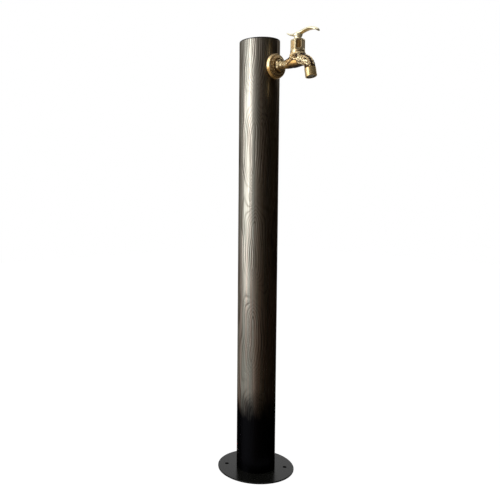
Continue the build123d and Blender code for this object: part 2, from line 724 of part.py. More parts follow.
# Lever handle: a waisted hub under an S-curved leaf, short and upturned behind, long and arched ahead
with BuildPart() as lever_handle:
    with BuildSketch(Plane.XZ):
        with BuildLine():
            foot_line = Polyline(
                beside_valve(0, hub_foot_z),
                beside_valve(hub_foot_radius, hub_foot_z),
                beside_valve(hub_foot_radius, hub_foot_z + hub_foot_height),
            )
            waist = ThreePointArc(
                foot_line @ 1,
                beside_valve(hub_waist_radius, hub_foot_z + hub_waist_height),
                beside_valve(hub_top_radius, hub_foot_z + hub_height),
            )
            Polyline(
                waist @ 1,
                beside_valve(hub_top_radius, hub_foot_z + lever_level),
                beside_valve(0, hub_foot_z + lever_level),
                foot_line @ 0,
            )
        make_face()
    revolve(axis=valve_axis)
    for station, (width, thickness) in enumerate(zip(lever_width_shares, lever_thickness_shares)):
        with BuildSketch(lever_plane(station)):
            with BuildLine():
                half_width = width * lever_width / 2
                crown = thickness * lever_thickness * lever_crown_share
                keel = thickness * lever_thickness - crown
                EllipticalCenterArc((0, 0), half_width, crown, start_angle=0, arc_size=180)
                EllipticalCenterArc((0, 0), half_width, keel, start_angle=180, arc_size=180)
            make_face()
    loft()
    with BuildSketch(level(valve_x, hub_foot_z)):
        Circle(spindle_diameter / 2 + loose_gap)
    extrude(amount=hub_foot_height, mode=Mode.SUBTRACT)
    with BuildSketch(level(valve_x, hub_foot_z)):
        Rectangle(spindle_square + 2 * running_gap, spindle_square + 2 * running_gap)
    socket_depth = hub_foot_height + spindle_square_height + running_gap
    extrude(amount=socket_depth, mode=Mode.SUBTRACT)
    lever_top_z = hub_foot_z + lever_level + lever_crown_share * lever_thickness
    screw_seat_z = lever_top_z - screw_head_height - loose_gap
    drill(level(valve_x, hub_foot_z), screw_diameter + 2 * thread_gap, lever_level + lever_thickness)
    drill(level(valve_x, screw_seat_z), screw_head_diameter + 2 * thread_gap, lever_thickness)
keep(lever_handle, "lever_handle")

# Handle screw: holds the lever down on the spindle's square, with a socket in its head
with BuildPart() as handle_screw:
    with BuildSketch(level(valve_x, screw_seat_z)):
        Circle(screw_head_diameter / 2)
    extrude(amount=screw_head_height)
    screw_tip_z = square_z + spindle_square_height - screw_depth + loose_gap
    with BuildSketch(level(valve_x, screw_tip_z)):
        Circle(screw_diameter / 2 - running_gap)
    extrude(amount=screw_seat_z - screw_tip_z)
    with BuildSketch(level(valve_x, screw_seat_z + screw_head_height)):
        RegularPolygon(screw_socket_across / 2, 6, major_radius=False)
    extrude(amount=-screw_head_height / 2, mode=Mode.SUBTRACT)
    fillet(handle_screw.edges().filter_by(GeomType.CIRCLE).group_by(Axis.Z)[-1], screw_edge_round)
keep(handle_screw, "handle_screw")
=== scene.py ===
# %% [markdown]
# A garden standpipe: a slim steel post with an embossed wood grain, on a bolted foot plate, with a
# traditional cast brass garden tap near its top.
#
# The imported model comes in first, as a frame that doesn't move. It has every piece at its real size and
# place. This lesson then dresses what shows: the post gets its grain, and the tap gets the soft edges,
# the vine in relief and the aged finish of a casting. What sits inside keeps its own mesh and only gets
# a finish. The scene is in metres, so a length in millimetres is multiplied by mm. A full turn is tau.

# %% Load the frame
import json
import math

import bmesh
import bpy
import numpy as np
from mathutils import Matrix, Vector


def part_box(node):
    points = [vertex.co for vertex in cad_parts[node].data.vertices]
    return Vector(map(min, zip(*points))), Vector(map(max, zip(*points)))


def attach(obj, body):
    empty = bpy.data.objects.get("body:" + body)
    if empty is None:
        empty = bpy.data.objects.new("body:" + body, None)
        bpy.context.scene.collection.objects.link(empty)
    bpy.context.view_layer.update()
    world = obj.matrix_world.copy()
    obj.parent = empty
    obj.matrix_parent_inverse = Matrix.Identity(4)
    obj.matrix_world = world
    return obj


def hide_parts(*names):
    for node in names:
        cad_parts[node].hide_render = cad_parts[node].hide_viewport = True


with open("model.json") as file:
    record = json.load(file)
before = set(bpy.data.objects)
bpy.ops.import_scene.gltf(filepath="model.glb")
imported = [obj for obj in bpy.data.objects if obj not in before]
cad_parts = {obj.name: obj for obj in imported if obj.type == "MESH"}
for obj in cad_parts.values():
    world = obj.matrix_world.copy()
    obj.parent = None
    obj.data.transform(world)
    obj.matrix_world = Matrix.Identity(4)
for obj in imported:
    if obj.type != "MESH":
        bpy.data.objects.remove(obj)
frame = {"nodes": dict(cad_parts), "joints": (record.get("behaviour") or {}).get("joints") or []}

mm = 0.001
tau = 2 * math.pi
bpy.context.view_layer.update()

# %% [markdown]
# The main places are read from the frame, so that they follow the model. The post's radius and the
# plate come from their boxes, the valve's axis from the lever's joint, and the height of the tap's axis
# from the flange, which is round and centred on it.

# %% Main places
post_low, post_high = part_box("post_tube")
cap_low, cap_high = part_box("top_cap")
plate_low, plate_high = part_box("base_plate")
flange_low, flange_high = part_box("wall_flange")
bonnet_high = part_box("bonnet")[1]
post_radius = (post_high.x - post_low.x) / 2
valve_x = frame["joints"][0]["pos_m"][0]
tap_z = (flange_low.z + flange_high.z) / 2
print("tap axis at height", round(tap_z, 4), "and valve axis at", round(valve_x, 4))

# %% [markdown]
# The camera stands a little over a metre away and somewhat above the middle of the post. It looks a
# little down, and past the post's left side. The photograph is a crop, so the lens is shifted as well.
# The numbers below were found by fitting the post's edges, its top rim and the outline of the plate.

# %% Camera
camera_azimuth = math.radians(46.0)
camera_distance = 1.1532
camera_height = 0.5365
camera_turn = -0.1313
camera_dip = 0.0872
camera_roll = -0.0016
frame_pixels = 500
focal_pixels = 590.63
centre_pixel_x = 180.0

spin = Matrix.Rotation(camera_azimuth, 3, "Z")
level_reach = math.cos(camera_dip)
forward = spin @ Vector((
    math.sin(camera_turn) * level_reach,
    math.cos(camera_turn) * level_reach,
    -math.sin(camera_dip),
))
level_right = spin @ Vector((math.cos(camera_turn), -math.sin(camera_turn), 0))
level_up = level_right.cross(forward)
camera_right = level_right * math.cos(camera_roll) + level_up * math.sin(camera_roll)
camera_up = level_up * math.cos(camera_roll) - level_right * math.sin(camera_roll)

camera_data = bpy.data.cameras.new("camera")
camera_data.sensor_width = 36.0
camera_data.lens = camera_data.sensor_width * focal_pixels / frame_pixels
camera_data.shift_x = 0.5 - centre_pixel_x / frame_pixels
camera = bpy.data.objects.new("camera", camera_data)
bpy.context.scene.collection.objects.link(camera)
turned = Matrix((camera_right, camera_up, -forward)).transposed().to_4x4()
stand = spin @ Vector((0, -camera_distance, camera_height))
camera.matrix_world = Matrix.Translation(stand) @ turned
bpy.context.scene.camera = camera
bpy.context.scene.view_settings.view_transform = "Standard"
print("the lens is", round(camera_data.lens, 2), "mm and the camera stands at", tuple(stand))

# %% [markdown]
# Shader maths reads best as plain expressions. A Wire is one output of a node tree. Adding, multiplying
# or raising it adds a Math node, and numbers may stand on either side. Every other node comes from add,
# which takes the node's kind, its settings and what goes into its sockets.

# %% Wires for shader maths


class Wire:
    """An output socket. Arithmetic on it adds Math nodes to the same tree."""

    def __init__(self, tree, socket=None):
        self.tree = tree
        self.socket = socket

    def add(self, kind, settings=None, inputs=None, output=0):
        """Adds a node: its settings are set first, then the values or links of its sockets."""
        node = self.tree.nodes.new("ShaderNode" + kind)
        for name, value in (settings or {}).items():
            setattr(node, name, value)
        for name, value in (inputs or {}).items():
            if isinstance(value, Wire):
                self.tree.links.new(value.socket, node.inputs[name])
            else:
                node.inputs[name].default_value = value
        return Wire(self.tree, node.outputs[output] if node.outputs else None)

    def math(self, operation, *values):
        return self.add("Math", {"operation": operation}, dict(enumerate(values)))

    def __add__(self, other):
        return self.math("ADD", self, other)

    def __radd__(self, other):
        return self.math("ADD", other, self)

    def __sub__(self, other):
        return self.math("SUBTRACT", self, other)

    def __rsub__(self, other):
        return self.math("SUBTRACT", other, self)

    def __mul__(self, other):
        return self.math("MULTIPLY", self, other)

    def __rmul__(self, other):
        return self.math("MULTIPLY", other, self)

    def __pow__(self, other):
        return self.math("POWER", self, other)


print("a Wire can be added, subtracted, multiplied and raised to a power")

# %% [markdown]
# A few helpers stand on that. A material starts with an empty tree and a bare Wire. Colours go through a
# Mix node, since a Math node would turn them grey. A soft step is a Map Range node, and speckle is noise
# that is stretched along each axis.

# %% Helpers for finishes


def new_material(name):
    """A material with an empty tree, and a bare Wire to start from."""
    material = bpy.data.materials.new(name)
    material.use_nodes = True
    material.node_tree.nodes.clear()
    return material, Wire(material.node_tree)


def sine(value):
    """The sine of a Wire or of an array."""
    return value.math("SINE", value) if isinstance(value, Wire) else np.sin(value)


def tint(share, first, second):
    """A colour from first to second, as share goes from 0 to 1."""
    return share.add("Mix", {"data_type": "RGBA"}, {0: share, 6: first, 7: second}, output=2)


def ease_in(wire, low, high):
    """0 below low, 1 above high, and a soft step between."""
    settings = {"interpolation_type": "SMOOTHSTEP"}
    return wire.add("MapRange", settings, {"Value": wire, "From Min": low, "From Max": high})


def speckle(start, place, stretch, detail=3.0):
    """Noise from 0 to 1 at a place. Stretch gives its grains per metre along X, Y and Z."""
    spread = start.add("VectorMath", {"operation": "MULTIPLY"}, {0: place, 1: stretch})
    return start.add("TexNoise", None, {"Vector": spread, "Scale": 1.0, "Detail": detail})


print("the sine of a quarter turn is", sine(tau / 4))

# %% [markdown]
# Every piece becomes a mesh object in the same way: from its vertices and faces, with the normals turned
# outwards and smooth shading. What stands round the post is placed by azimuth, distance and height,
# because that is how a photographer walks round a subject.

# %% Making and placing objects


def make_object(name, vertices, faces):
    """A smooth mesh object from vertices in metres."""
    mesh = bpy.data.meshes.new(name)
    mesh.from_pydata(np.asarray(vertices, float), [], np.asarray(faces).tolist())
    work = bmesh.new()
    work.from_mesh(mesh)
    bmesh.ops.recalc_face_normals(work, faces=work.faces)
    work.to_mesh(mesh)
    work.free()
    mesh.shade_smooth()
    made = bpy.data.objects.new(name, mesh)
    bpy.context.scene.collection.objects.link(made)
    return made


def place_at(azimuth, distance, height):
    """A point round the post. Azimuth is measured as the camera's is, in degrees."""
    angle = math.radians(azimuth)
    return Vector((math.sin(angle) * distance, -math.cos(angle) * distance, height))


camera_spot = place_at(math.degrees(camera_azimuth), camera_distance, camera_height)
print("by azimuth, the camera's place is", tuple(camera_spot))

# %% [markdown]
# The stage is a pale floor under a white surround. The camera and the reflections see the surround at
# full white, while the light it gives is softer. The floor is mostly a glow to the camera, so that no
# line shows where it ends, and plain paint to everything else, so that it throws light back.

# %% Floor and surround
floor_half = 4.0
floor_brightness = 1.17
glow_share = 0.8
surround_light = 0.45
floor_material, start = new_material("floor")
camera_ray = start.add("LightPath", output="Is Camera Ray")
floor_paint = start.add("BsdfPrincipled", None, {
    "Base Color": (0.86, 0.86, 0.85, 1),
    "Roughness": 0.9,
    "Specular IOR Level": 0.1,
})
floor_glow = start.add("Emission", None, {"Color": (1, 1, 1, 1), "Strength": floor_brightness})
floor_mix = start.add("MixShader", None, {0: camera_ray * glow_share, 1: floor_paint, 2: floor_glow})
start.add("OutputMaterial", None, {"Surface": floor_mix})
corners = [(-1, -1), (1, -1), (1, 1), (-1, 1)]
floor = make_object("floor", [(x * floor_half, y * floor_half, 0) for x, y in corners], [(0, 1, 2, 3)])
floor.data.materials.append(floor_material)

world = bpy.data.worlds.new("surround")
bpy.context.scene.world = world
world.use_nodes = True
world.node_tree.nodes.clear()
start = Wire(world.node_tree)
seen = start.math("MAXIMUM", start.add("LightPath", output="Is Camera Ray"),
                  start.add("LightPath", output="Is Glossy Ray"))
seen = start.math("MAXIMUM", seen, start.add("LightPath", output="Is Transmission Ray"))
ambient = start.add("Background", None, {"Color": (1, 1, 1, 1), "Strength": surround_light})
white = start.add("Background", None, {"Color": (1, 1, 1, 1), "Strength": 1.0})
start.add("OutputWorld", None, {"Surface": start.add("MixShader", None, {0: seen, 1: ambient, 2: white})})
print("the floor is", 2 * floor_half, "metres wide")

# %% [markdown]
# Three soft rectangular lamps light the object. A broad one to the left draws the long cream highlight
# down the post, a smaller one above it serves the tap, and one overhead lights the tops.

# %% Lamps


def softbox(name, azimuth, distance, height, width, tall, radiance, aim):
    """A soft rectangular lamp that faces the post's axis at the height aim."""
    data = bpy.data.lights.new(name, "AREA")
    data.shape = "RECTANGLE"
    data.size = width
    data.size_y = tall
    data.energy = radiance * math.pi * width * tall
    lamp = bpy.data.objects.new(name, data)
    bpy.context.scene.collection.objects.link(lamp)
    lamp.location = place_at(azimuth, distance, height)
    lamp.rotation_mode = "QUATERNION"
    lamp.rotation_quaternion = (Vector((0, 0, aim)) - lamp.location).to_track_quat("-Z", "Y")
    return lamp


lamps = (
    softbox(
        "broad_softbox", azimuth=-21.0, distance=1.25, height=0.59,
        width=1.0, tall=0.76, radiance=3.3, aim=0.59,
    ),
    softbox(
        "tap_softbox", azimuth=-7.0, distance=1.0, height=1.08,
        width=0.46, tall=0.5, radiance=3.2, aim=0.80,
    ),
    softbox(
        "top_softbox", azimuth=0.0, distance=0.9, height=1.75,
        width=0.9, tall=0.7, radiance=1.6, aim=0.6,
    ),
)
print("the lamps are", [lamp.name for lamp in lamps])

# %% [markdown]
# Metal looks like what stands round it, so a photographer surrounds it with cards. A ring of screens
# does that here, and only reflections see it. It runs along the floor from near the post, then up as a
# wall, and each azimuth has its own brightness, from grey on the left to near black on the right. The
# part on the floor is brighter on the left. High up the wall is brightest on the left too, for the tap,
# and has a second bright stretch far round on the right, for the bonnet's right face.

# %% Brightness of the screens
screen_distance = 1.5
screen_azimuths = np.arange(-118.0, 206.0, 6.0)
screen_glow = np.interp(
    screen_azimuths,
    (-118.0, -70.0, 5.0, 27.0, 46.0, 65.0, 84.0, 104.0),
    (0.42, 0.50, 0.50, 0.34, 0.11, 0.050, 0.024, 0.016),
)
screen_outline = [
    (0.09, 0.002), (0.95, 0.002), (screen_distance, 0.002), (screen_distance, 0.9),
    (screen_distance, 1.15), (screen_distance, 2.4),
]
low_glow = np.interp(screen_azimuths, (-118.0, -70.0, -30.0, 5.0, 20.0), (0.28, 0.50, 0.60, 0.48, 0.0))
low_shares = (1, 1, 0.6, 0, 0, 0)
high_row = 4
high_glow = np.interp(
    screen_azimuths,
    (-118.0, -62.0, -50.0, -35.0, -12.0, 8.0, 27.0, 46.0, 65.0, 158.0, 170.0, 182.0),
    (0.34, 0.45, 0.95, 1.15, 1.30, 0.40, 0.17, 0.06, 0.02, 0.02, 0.42, 0.42),
)
high_until = 188.0
print("the screens stand in", len(screen_azimuths), "columns")

# %% [markdown]
# The ring is one mesh. Its points carry their brightness as a colour, which the glow reads, so it runs
# smoothly from screen to screen. Dim screens are brown and bright ones white, which warms the shadows.

# %% Ring of screens
white_from = 0.4
dim_tint = np.array((1.0, 0.66, 0.38))
bright_tint = np.array((1.0, 1.0, 0.98))
screen_points, screen_colours, screen_faces = [], [], []
for column, azimuth in enumerate(screen_azimuths):
    for row, (distance, height) in enumerate(screen_outline):
        extra = high_glow[column] if row >= high_row else low_glow[column] * low_shares[row]
        glow = max(screen_glow[column], extra)
        whiteness = np.clip(glow / white_from, 0, 1)
        screen_points.append(tuple(place_at(azimuth, distance, height)))
        screen_colours += [*(glow * (dim_tint + (bright_tint - dim_tint) * whiteness)), 1]
    for row in range(len(screen_outline) - 1):
        if column and (row < high_row or azimuth < high_until):
            last = column * len(screen_outline) + row
            before = last - len(screen_outline)
            screen_faces.append((before, last, last + 1, before + 1))
screen = make_object("reflection_screens", screen_points, screen_faces)
glow_colours = screen.data.attributes.new("glow", "FLOAT_COLOR", "POINT")
glow_colours.data.foreach_set("color", screen_colours)
screen_material, start = new_material("screen_glow")
glow = start.add("Attribute", {"attribute_name": "glow"}, None, output="Color")
shine = start.add("Emission", None, {"Color": glow, "Strength": 1.0})
start.add("OutputMaterial", None, {"Surface": shine})
screen.data.materials.append(screen_material)
for kind in ("camera", "diffuse", "shadow", "transmission"):
    setattr(screen, f"visible_{kind}", False)
print("the ring has", len(screen_faces), "screens")

# %% [markdown]
# The plate lies on the glowing floor, which would shine through its anchor holes. A dark mat just above
# the floor, a little smaller than the plate, is painted shade under the plate, so that the holes look
# black.

# %% Dark mat of painted shade
mat_margin = 4 * mm
mat_height = 0.1 * mm
mat_sides = 48
mat_radius = (plate_high.x - plate_low.x) / 2 - mat_margin
# The mat is painted shade under the plate, seen through its holes.
mat_material, start = new_material("painted_shade_mat")
mat_paint = start.add("BsdfPrincipled", None, {"Base Color": (0.004, 0.004, 0.004, 1), "Roughness": 0.9})
start.add("OutputMaterial", None, {"Surface": mat_paint})
mat_points = [
    tuple(place_at(360 * side / mat_sides, mat_radius, mat_height)) for side in range(mat_sides)
]
shade_mat = make_object("painted_shade_mat", mat_points, [tuple(range(mat_sides))])
shade_mat.data.materials.append(mat_material)
print("the mat is", round(2 * mat_radius, 4), "metres across")

# %% [markdown]
# The post is a steel tube, embossed with a wood grain before it was rolled and coloured black-brown.
# Its lines run along the post, and about every 18 cm they close over the tip of a flame, in nested
# pointed arches with a smooth patch above them. The same formula draws them twice: with arrays, to
# press real grooves into the mesh, and with wires, to carry them on in colour and bump. An image of
# wood would be quicker, but it would show a seam, and a formula stays sharp from close by.

# %% Flames of the wood grain
flame_pitch = 0.1795
flame_tip = 0.690
flame_count = 3
flame_lead = math.radians(-54.0)
swell_lead = math.radians(50.0)
patch_lead = math.radians(75.0)


def flame_share(around):
    """1 on the middle line of a flame and 0 halfway to the next."""
    return sine((around - flame_lead) * flame_count + math.pi / 2) * 0.5 + 0.5


def flame_swell(rise):
    """A swell once in every pitch. The lines close over its lower side, where rise is 0."""
    return (sine(rise + (math.pi / 2 - swell_lead)) * 0.5 + 0.5) ** 3


def rise_of(around, height):
    """The place within a pitch as an angle. Each flame round the post has a place of its own."""
    own_place = 0.5 * sine(around + flame_lead * 0.5 + 1.4)
    return (height - flame_tip) * (tau / flame_pitch) + own_place


print("a flame is drawn every", flame_pitch, "metres,", flame_count, "times round the post")

# %% [markdown]
# The formula counts lines across the surface, with one groove to every whole line. The count grows to
# both sides of a flame's middle, and a swell in it, once in every pitch, closes the lines to arches.
# Slow sines of lengths that don't fit each other bend the lines, so that no stretch looks like the next.

# %% Lines of the wood grain
line_gap = 3.6 * mm
flame_lines = 5.5
flame_bluntness = 0.06


def grain_lines(around, height):
    """How many grain lines lie between the middle of a flame and this place."""
    rise = rise_of(around, height)
    sway = 0.09 * sine(rise * 0.37 + 1.9) + 0.05 * sine(rise * 1.31 + around) + 0.015 * sine(rise * 3.1)
    across = sine((around - flame_lead + sway) * (flame_count / 2))
    blunt = (across * across + flame_bluntness**2) ** 0.5
    spread = blunt * (2 * post_radius / (flame_count * line_gap))
    wander = 0.30 * sine(around * 2 + rise * 0.61) + 0.16 * sine(around * 9 - rise * 1.7 + 2.0)
    return spread + flame_lines * flame_swell(rise) * flame_share(around) ** 2 + wander


def grain_groove(around, height):
    """How deep the groove is, from 0 between lines to 1 in the middle of one."""
    wave = sine(grain_lines(around, height) * tau) * 0.5 + 0.5
    patch = (sine(rise_of(around, height) + (math.pi / 2 - patch_lead)) * 0.5 + 0.5) ** 2
    depth = sine(around * 5 + height * 61.0) * 0.2 + sine(around * 13 - height * 37.0) * 0.15 + 0.65
    return wave**3 * depth * (1 - patch * flame_share(around) * 0.9)


print("grooves lie about", line_gap / mm, "mm apart")

# %% [markdown]
# The tube's outer face is a grid of points, close enough to hold the grooves, which are pressed in by
# making the radius a little smaller. Bump alone would be lighter, but real grooves also catch the light
# along the post's edges. Two plain rings inside close the face to a tube with a real wall.

# %% Post tube
post_columns = 360
post_rows = 400
groove_depth = 0.14 * mm
post_wall = 1.5 * mm
turn = np.linspace(0, tau, post_columns, endpoint=False)
rise = np.linspace(post_low.z, post_high.z, post_rows)
around, height = np.meshgrid(turn, rise)
outer = post_radius - groove_depth * grain_groove(around, height)
inner = np.full((2, post_columns), post_radius - post_wall)
radii = np.concatenate([outer, inner])
heights = np.concatenate([rise, [post_high.z, post_low.z]])


def ring_faces(rows, columns, closed=True):
    """Quads between neighbouring rings of vertices, and back to the first ring if closed."""
    row = np.arange(rows if closed else rows - 1)[:, None]
    column = np.arange(columns)[None, :]
    after = (column + 1) % columns
    above = (row + 1) % rows
    corners = (
        row * columns + column, row * columns + after,
        above * columns + after, above * columns + column,
    )
    return np.stack(np.broadcast_arrays(*corners), -1).reshape(-1, 4)


post_points = np.stack(
    [radii * np.cos(turn), radii * np.sin(turn), np.repeat(heights[:, None], post_columns, 1)], -1
)
post = make_object("grained_post", post_points.reshape(-1, 3), ring_faces(post_rows + 2, post_columns))
post.data.set_sharp_from_angle(angle=math.radians(40))
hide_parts("post_tube")
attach(post, "standpipe")
print("the post has", len(post.data.polygons), "faces")

# %% [markdown]
# Black-coloured stainless steel is still a metal, so it is given a low, warm metallic colour rather
# than a black paint. The grooves hold less light, and long fine fibres and broader streaks break up the
# sheen. Towards its foot the post turns browner. The lowest fifteen centimetres or so are painted a plain
# deep black, with a soft uneven edge, as a painted dark reflection, and the grain's bump fades there.

# %% Grained steel finish


def round_the_post(start, place):
    """The angle round the post's axis and the height, as wires."""
    parts = {axis: start.add("SeparateXYZ", None, {0: place}, output=axis) for axis in "XYZ"}
    return start.math("ARCTAN2", parts["Y"], parts["X"]), parts["Z"]


black_until = 0.132
grain_from = 0.208
brown_until = 0.12
brown_end = 0.42
black_steel, start = new_material("grained_black_steel")
place = start.add("TexCoord", output="Object")
angle, above = round_the_post(start, place)
groove = grain_groove(angle, above)
fibres = ease_in(speckle(start, place, (480.0, 480.0, 8.0), 4.0), 0.36, 0.66)
streaks = ease_in(speckle(start, place, (230.0, 230.0, 5.5), 2.0), 0.42, 0.58)
patches = speckle(start, place, (26.0, 26.0, 7.0), 2.0)
edge = speckle(start, place, (60.0, 60.0, 25.0), 3.0)
# Painted dark reflection: 0 on the lowest part, painted plain deep black, and 1 where the grain shows.
grain_above_painted_foot = ease_in(above + edge * 0.05, black_until, grain_from)
browned = ease_in(patches * 0.3 - above, -brown_end, -brown_until)
warm = tint(streaks * (browned * 0.65 + 0.35), (0.36, 0.355, 0.31, 1), (0.44, 0.36, 0.305, 1))
grained = tint(groove * 0.66 + fibres * 0.36, warm, (0.05, 0.036, 0.028, 1))
finish = start.add("BsdfPrincipled", None, {
    "Base Color": tint(grain_above_painted_foot, (0.007, 0.007, 0.0085, 1), grained),
    "Metallic": 1.0,
    "Roughness": groove * 0.12 + fibres * 0.08 + patches * 0.1 + 0.22,
    "Specular Tint": (0.28, 0.25, 0.22, 1),
    "Normal": start.add("Bump", None, {
        "Strength": 0.95,
        "Distance": 0.25 * mm,
        "Height": (1 - groove) * 0.7 * (grain_above_painted_foot * 0.8 + 0.2) + fibres * 0.14,
    }),
})
start.add("OutputMaterial", None, {"Surface": finish})
post.data.materials.append(black_steel)
print("the steel finish has", len(black_steel.node_tree.nodes), "nodes")

# %% [markdown]
# Turned and pressed round pieces are all made one way: an outline of a few corners, each with its own
# small radius, is walked at an even step and spun round an axis. The even step matters, because the
# flats beside a rounded edge need rings of their own to stay flat when shaded smooth. A screw modifier
# could spin the outline too, but would leave it to be drawn point by point.

# %% Walk an outline
fillet_points = 6
longest_share = 0.49


def even_steps(start, end, step):
    """Points between two others, none further than a step from the next."""
    count = int(np.linalg.norm(end - start) / step)
    return [start + (end - start) * k / (count + 1) for k in range(1, count + 1)]


def walk_outline(corners, step):
    """Points round a closed outline. A corner is its radius, its place along the axis and its fillet."""
    spots = np.array([corner[:2] for corner in corners], float)
    points = []
    for number, (_, _, fillet) in enumerate(corners):
        here = spots[number]
        back = spots[number - 1] - here
        ahead = spots[(number + 1) % len(spots)] - here
        room = min(np.linalg.norm(back), np.linalg.norm(ahead)) * longest_share
        opening = math.acos(np.clip(back @ ahead / (np.linalg.norm(back) * np.linalg.norm(ahead)), -1, 1))
        pull = min(fillet / math.tan(opening / 2), room) if fillet else 0
        first = here + back / np.linalg.norm(back) * pull
        last = here + ahead / np.linalg.norm(ahead) * pull
        share = np.linspace(0, 1, fillet_points if fillet else 1)[:, None]
        bent = (1 - share) ** 2 * first + 2 * share * (1 - share) * here + share**2 * last
        if points:
            points += even_steps(points[-1], bent[0], step)
        points += list(bent)
    points += even_steps(points[-1], points[0], step)
    return np.array(points)


square = walk_outline([(1, 0, 0), (3, 0, 0), (3, 2, 0), (1, 2, 0)], 0.5)
print("a square of 2 mm, walked at 0.5 mm, has", len(square), "points")

# %% [markdown]
# Spinning turns the outline round an axis in even steps. Each point makes a ring, and quads join
# neighbouring rings, just as they did on the post. Outlines stop a hair short of the axis, so that no
# ring shrinks to a single spot.

# %% Spin an outline


def spin_outline(points, origin, axis, columns):
    """Vertices in metres of an outline in millimetres, spun round an axis that isn't along Y."""
    axis = Vector(axis).normalized()
    side = axis.cross(Vector((0, 1, 0))).normalized()
    other = axis.cross(side)
    turn = np.linspace(0, tau, columns, endpoint=False)
    out = np.cos(turn)[:, None] * np.array(side) + np.sin(turn)[:, None] * np.array(other)
    spun = points[:, None, :1] * out[None] + points[:, None, 1:] * np.array(axis)
    return (spun * mm + np.array(origin)).reshape(-1, 3)


def spun_piece(name, corners, origin, axis, columns, step=0.8):
    """A finished round piece."""
    points = walk_outline(corners, step)
    vertices = spin_outline(points, origin, axis, columns)
    return make_object(name, vertices, ring_faces(len(points), columns))


near_axis = 0.01
print("outlines are walked and spun in millimetres")

# %% [markdown]
# The cap is pressed from sheet: a flat disc with a rounded edge, and a skirt that drops inside the tube.
# The disc and the skirt are one outline, spun round the post's axis. A plain cylinder would lack the
# rounded edge, which carries a thin highlight.

# %% Cap
cap_radius = (cap_high.x - cap_low.x) / 2 / mm
cap_depth = (cap_high.z - cap_low.z) / mm
cap_disc = 2.0
skirt_outer = 36.4
skirt_inner = 35.2
cap = spun_piece(
    "pressed_cap",
    [
        (near_axis, 0, 0), (cap_radius, 0, 1.2), (cap_radius, -cap_disc, 0.1),
        (skirt_outer, -cap_disc, 0), (skirt_outer, -cap_depth, 0.2),
        (skirt_inner, -cap_depth, 0.2), (skirt_inner, -cap_disc, 0.3), (near_axis, -cap_disc, 0),
    ],
    (0, 0, cap_high.z), (0, 0, 1), 256, 1.5,
)
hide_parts("top_cap")
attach(cap, "standpipe")
print("the cap has", len(cap.data.polygons), "faces")

# %% [markdown]
# The cap and the foot plate are plain: pressed and laser-cut sheet under the same black, satin enough
# to mirror the post dimly. Their finish has only fine speckle and a few dull patches. The cap is a
# little glossier than the plate, so that its edge catches the highlight that runs down the post.

# %% Plain black finish


def plain_finish(name, dark, light, roughness, specular, metallic=0.0, grain=900.0, bump=0.02):
    """A finish of two near colours in fine speckle."""
    material, start = new_material(name)
    place = start.add("TexCoord", output="Object")
    fine = speckle(start, place, (grain, grain, grain), 3.0)
    broad = speckle(start, place, (30.0, 30.0, 30.0), 2.0)
    body = start.add("BsdfPrincipled", None, {
        "Base Color": tint(fine * 0.5 + broad * 0.5, dark, light),
        "Roughness": fine * 0.08 + broad * 0.1 + (roughness - 0.09),
        "Metallic": metallic,
        "Specular IOR Level": specular,
        "Normal": start.add("Bump", None, {"Strength": 0.3, "Distance": bump * mm, "Height": fine}),
    })
    start.add("OutputMaterial", None, {"Surface": body})
    return material


def dress(node, material):
    """Gives a node of the frame its finish in place of the one it came with."""
    slots = frame["nodes"][node].data.materials
    slots.clear()
    slots.append(material)


deep_black = (0.003, 0.003, 0.0026, 1)
pale_black = (0.007, 0.007, 0.006, 1)
satin_black = plain_finish("satin_black", deep_black, pale_black, 0.22, 0.15)
glossy_black = plain_finish("glossy_black", deep_black, pale_black, 0.2, 0.45)
cap.data.materials.append(glossy_black)
dress("base_plate", satin_black)
print("plate and cap are dressed")

# %% [markdown]
# Aged brass is bright where hands and cloths rub it and brown-black where they don't reach. Each brass
# piece carries a number at every point, called patina, from 0 on a worn ridge to 1 in a deep hollow.
# The finish reads it and breaks it up with cloudy speckle, so that no edge between the two is clean.
# A painted image could hold the same, but it would need each mesh unwrapped first.

# %% Aged brass finish


def aged_brass(name, rubbed, toned, deep, least_roughness, most_metallic=0.92):
    """Brass that goes from rubbed through toned to deep as its patina grows."""
    material, start = new_material(name)
    place = start.add("TexCoord", output="Object")
    patina = start.add("Attribute", {"attribute_name": "patina"}, None, output="Fac")
    cloud = speckle(start, place, (330.0, 330.0, 330.0), 4.0)
    fine = speckle(start, place, (1500.0, 1500.0, 1500.0), 3.0)
    age = patina + (cloud - 0.5) * 0.3 + (fine - 0.5) * 0.1
    lightly = tint(ease_in(age, 0.12, 0.55), rubbed, toned)
    body = start.add("BsdfPrincipled", None, {
        "Base Color": tint(ease_in(age, 0.5, 0.95), lightly, deep),
        "Metallic": most_metallic - ease_in(age, 0.15, 0.8) * 0.14,
        "Roughness": ease_in(age, 0.1, 1.0) * 0.28 + fine * 0.1 + least_roughness,
        "Normal": start.add("Bump", None, {
            "Strength": 0.14,
            "Distance": 0.08 * mm,
            "Height": cloud * 0.2 + fine * 0.3,
        }),
    })
    start.add("OutputMaterial", None, {"Surface": body})
    return material


def set_patina(piece, values):
    """Stores the patina of every vertex of a piece."""
    stored = piece.data.attributes.new("patina", "FLOAT", "POINT")
    stored.data.foreach_set("value", np.clip(values, 0, 1).astype(np.float32))


print("aged brass reads the patina of a piece")

# %% [markdown]
# Three brasses differ by how they were made and used. The castings are darkest in their hollows, the
# turned pieces are more yellow and even, and the lever is palest, because hands rub it every day.

# %% Cast, turned and handled brass
cast_brass = aged_brass(
    "cast_brass", (0.84, 0.71, 0.45, 1), (0.47, 0.265, 0.08, 1), (0.035, 0.017, 0.007, 1), 0.16
)
turned_brass = aged_brass(
    "turned_brass", (0.68, 0.52, 0.27, 1), (0.48, 0.30, 0.09, 1), (0.05, 0.028, 0.012, 1), 0.18, 0.8
)
handled_brass = aged_brass(
    "handled_brass", (0.98, 0.90, 0.64, 1), (0.60, 0.40, 0.13, 1), (0.05, 0.028, 0.012, 1), 0.2, 0.72
)
print("the brasses are", [brass.name for brass in (cast_brass, turned_brass, handled_brass)])

